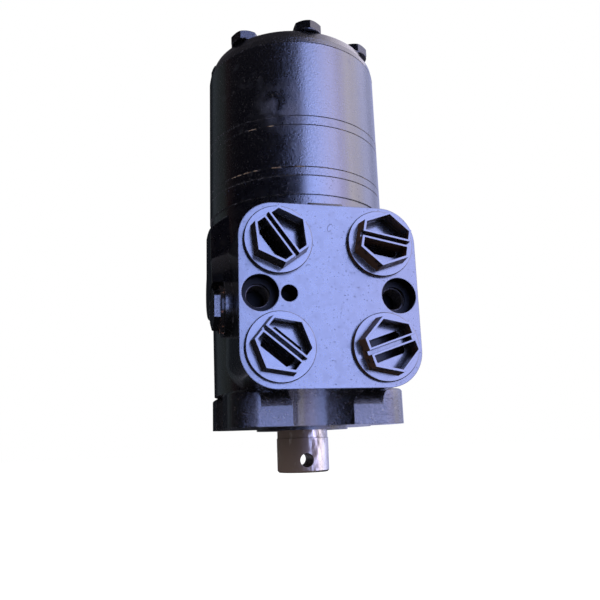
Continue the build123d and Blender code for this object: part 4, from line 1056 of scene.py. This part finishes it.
class SetStage(bpy.types.Operator):
    """Set the camera, floor, background, lamps and cards"""

    bl_idname = "steering_unit.set_stage"
    bl_label = "Set stage"

    def execute(self, context):
        settings = context.scene.steering_unit.stage
        self.set_camera(context, settings)
        self.lay_floor(settings)
        self.light_world(context, settings)
        self.hang_cards(settings)
        # Place and width in metres, and power in watts
        soft_lamp("key_lamp", (0.55, -0.75, 0.62), 0.5, 5.0)
        soft_lamp("fill_lamp", (-0.8, -0.4, 0.5), 0.7, 3.0)
        soft_lamp("back_lamp", (0.1, 0.9, 0.6), 0.7, 4.0)
        context.scene.view_settings.view_transform = "Standard"
        return {"FINISHED"}

    def set_camera(self, context, settings):
        """Camera with no shift and no depth of field."""
        data = bpy.data.cameras.new("camera")
        data.sensor_fit = "HORIZONTAL"
        data.sensor_width = 36.0
        data.lens = settings.lens
        data.clip_start = 0.01
        camera = bpy.data.objects.new("camera", data)
        context.scene.collection.objects.link(camera)
        place = Matrix.Translation(settings.camera_place)
        turn = Matrix.Rotation(-settings.heading, 4, "Z")
        tip = Matrix.Rotation(math.pi / 2 + settings.tilt, 4, "X")
        camera.matrix_world = place @ turn @ tip @ Matrix.Rotation(settings.roll, 4, "Z")
        context.scene.camera = camera

    def lay_floor(self, settings):
        """Level floor that the background's rays see as white, and that keeps the shadow for the rest."""
        half = 6.0
        material = bpy.data.materials.new("floor_white")
        floor = Nodes(material)
        pale = floor.add("ShaderNodeBsdfDiffuse", {"Color": (0.62, 0.62, 0.62, 1.0)})
        strength = floor.math("MULTIPLY", floor.background_rays(), 0.8)
        glow = floor.add("ShaderNodeEmission", {"Strength": strength})
        both = floor.add("ShaderNodeAddShader", {0: pale.outputs[0], 1: glow.outputs[0]})
        floor.add("ShaderNodeOutputMaterial", {"Surface": both.outputs[0]})
        floor_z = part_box("spool")[0].z - settings.floor_drop
        stage_mesh("floor", square_corners(half, floor_z), [(0, 1, 2, 3)], material)

    def light_world(self, context, settings):
        """Even light from all round, and white for the rays that show the background."""
        world = bpy.data.worlds.new("studio")
        context.scene.world = world
        studio = Nodes(world)
        even = {"Color": (0.97, 0.97, 1.0, 1.0), "Strength": settings.ambient}
        ambient = studio.add("ShaderNodeBackground", even)
        white = studio.add("ShaderNodeBackground", {"Color": (1.0, 1.0, 1.0, 1.0), "Strength": 1.0})
        shown = {0: studio.background_rays(), 1: ambient.outputs[0], 2: white.outputs[0]}
        mix = studio.add("ShaderNodeMixShader", shown)
        studio.add("ShaderNodeOutputWorld", {"Surface": mix.outputs[0]})

    def hang_cards(self, settings):
        """Cards that only gloss sees: a ring round the unit, a ceiling and a ground just over the floor."""
        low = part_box("spool")[0].z - settings.floor_drop * 0.99
        high = 1.1
        radius = 1.2
        dark_wall = (0.004, 0.004, 0.008)
        # Angle from +Y towards -X in degrees, and the light's colour there
        room = (
            (0, (0.006, 0.007, 0.01)),
            (20, (0.008, 0.009, 0.012)),
            (34, (0.06, 0.072, 0.085)),
            (60, (0.05, 0.06, 0.06)),
            (73, (0.03, 0.008, 0.01)),
            (80, dark_wall),
            (174, dark_wall),
            (188, (2.0, 2.55, 5.6)),
            (222, (2.3, 2.3, 4.1)),
            (231, (1.55, 1.45, 2.6)),
            (237, (1.6, 1.5, 2.3)),
            (246, (2.1, 1.95, 2.1)),
            (256, (1.6, 1.5, 1.8)),
            (275, (1.2, 1.25, 2.0)),
            (300, (0.5, 0.53, 0.85)),
            (335, (0.4, 0.42, 0.7)),
            (350, (0.006, 0.007, 0.01)),
        )
        ring_card("room_card", low, high, radius, room_material("room_card", room, 180))
        flat_card("ceiling_card", high, radius, ceiling_material("ceiling_card", radius))
        flat_card("ground_card", low, radius, ground_material("ground_card", radius))


class SteeringUnitPanel(bpy.types.Panel):
    """Steps and settings of the steering unit"""

    bl_idname = "VIEW3D_PT_steering_unit"
    bl_label = "Steering Unit"
    bl_space_type = "VIEW_3D"
    bl_region_type = "UI"
    bl_category = "Steering Unit"

    def draw(self, context):
        """A button for each step, and a box of settings for each group."""
        column = self.layout.column()
        for operator in OPERATORS:
            column.operator(operator.bl_idname)
        settings = context.scene.steering_unit
        for group in (settings.paint, settings.metal, settings.plug, settings.thread, settings.stage):
            box = column.box()
            for name in group.bl_rna.properties.keys():
                if name not in ("rna_type", "name"):
                    box.prop(group, name)


OPERATORS = (
    PaintHousing,
    PaintStack,
    FinishShaft,
    FinishRunningParts,
    FinishSeals,
    FinishPlugs,
    CutThreads,
    LayCompound,
    ScarPortFace,
    SetStage,
)
SETTINGS = (PaintSettings, MetalSettings, PlugSettings, ThreadSettings, StageSettings, UnitSettings)
CLASSES = (*SETTINGS, *OPERATORS, SteeringUnitPanel)


def register():
    """Add the settings, steps and panel."""
    for each in CLASSES:
        bpy.utils.register_class(each)
    bpy.types.Scene.steering_unit = PointerProperty(type=UnitSettings)


def unregister():
    """Take the settings, steps and panel out again."""
    del bpy.types.Scene.steering_unit
    for each in reversed(CLASSES):
        bpy.utils.unregister_class(each)


def main():
    """Run every step in order."""
    register()
    for operator in OPERATORS:
        group, name = operator.bl_idname.split(".")
        getattr(getattr(bpy.ops, group), name)()


if __name__ == "__main__":
    main()
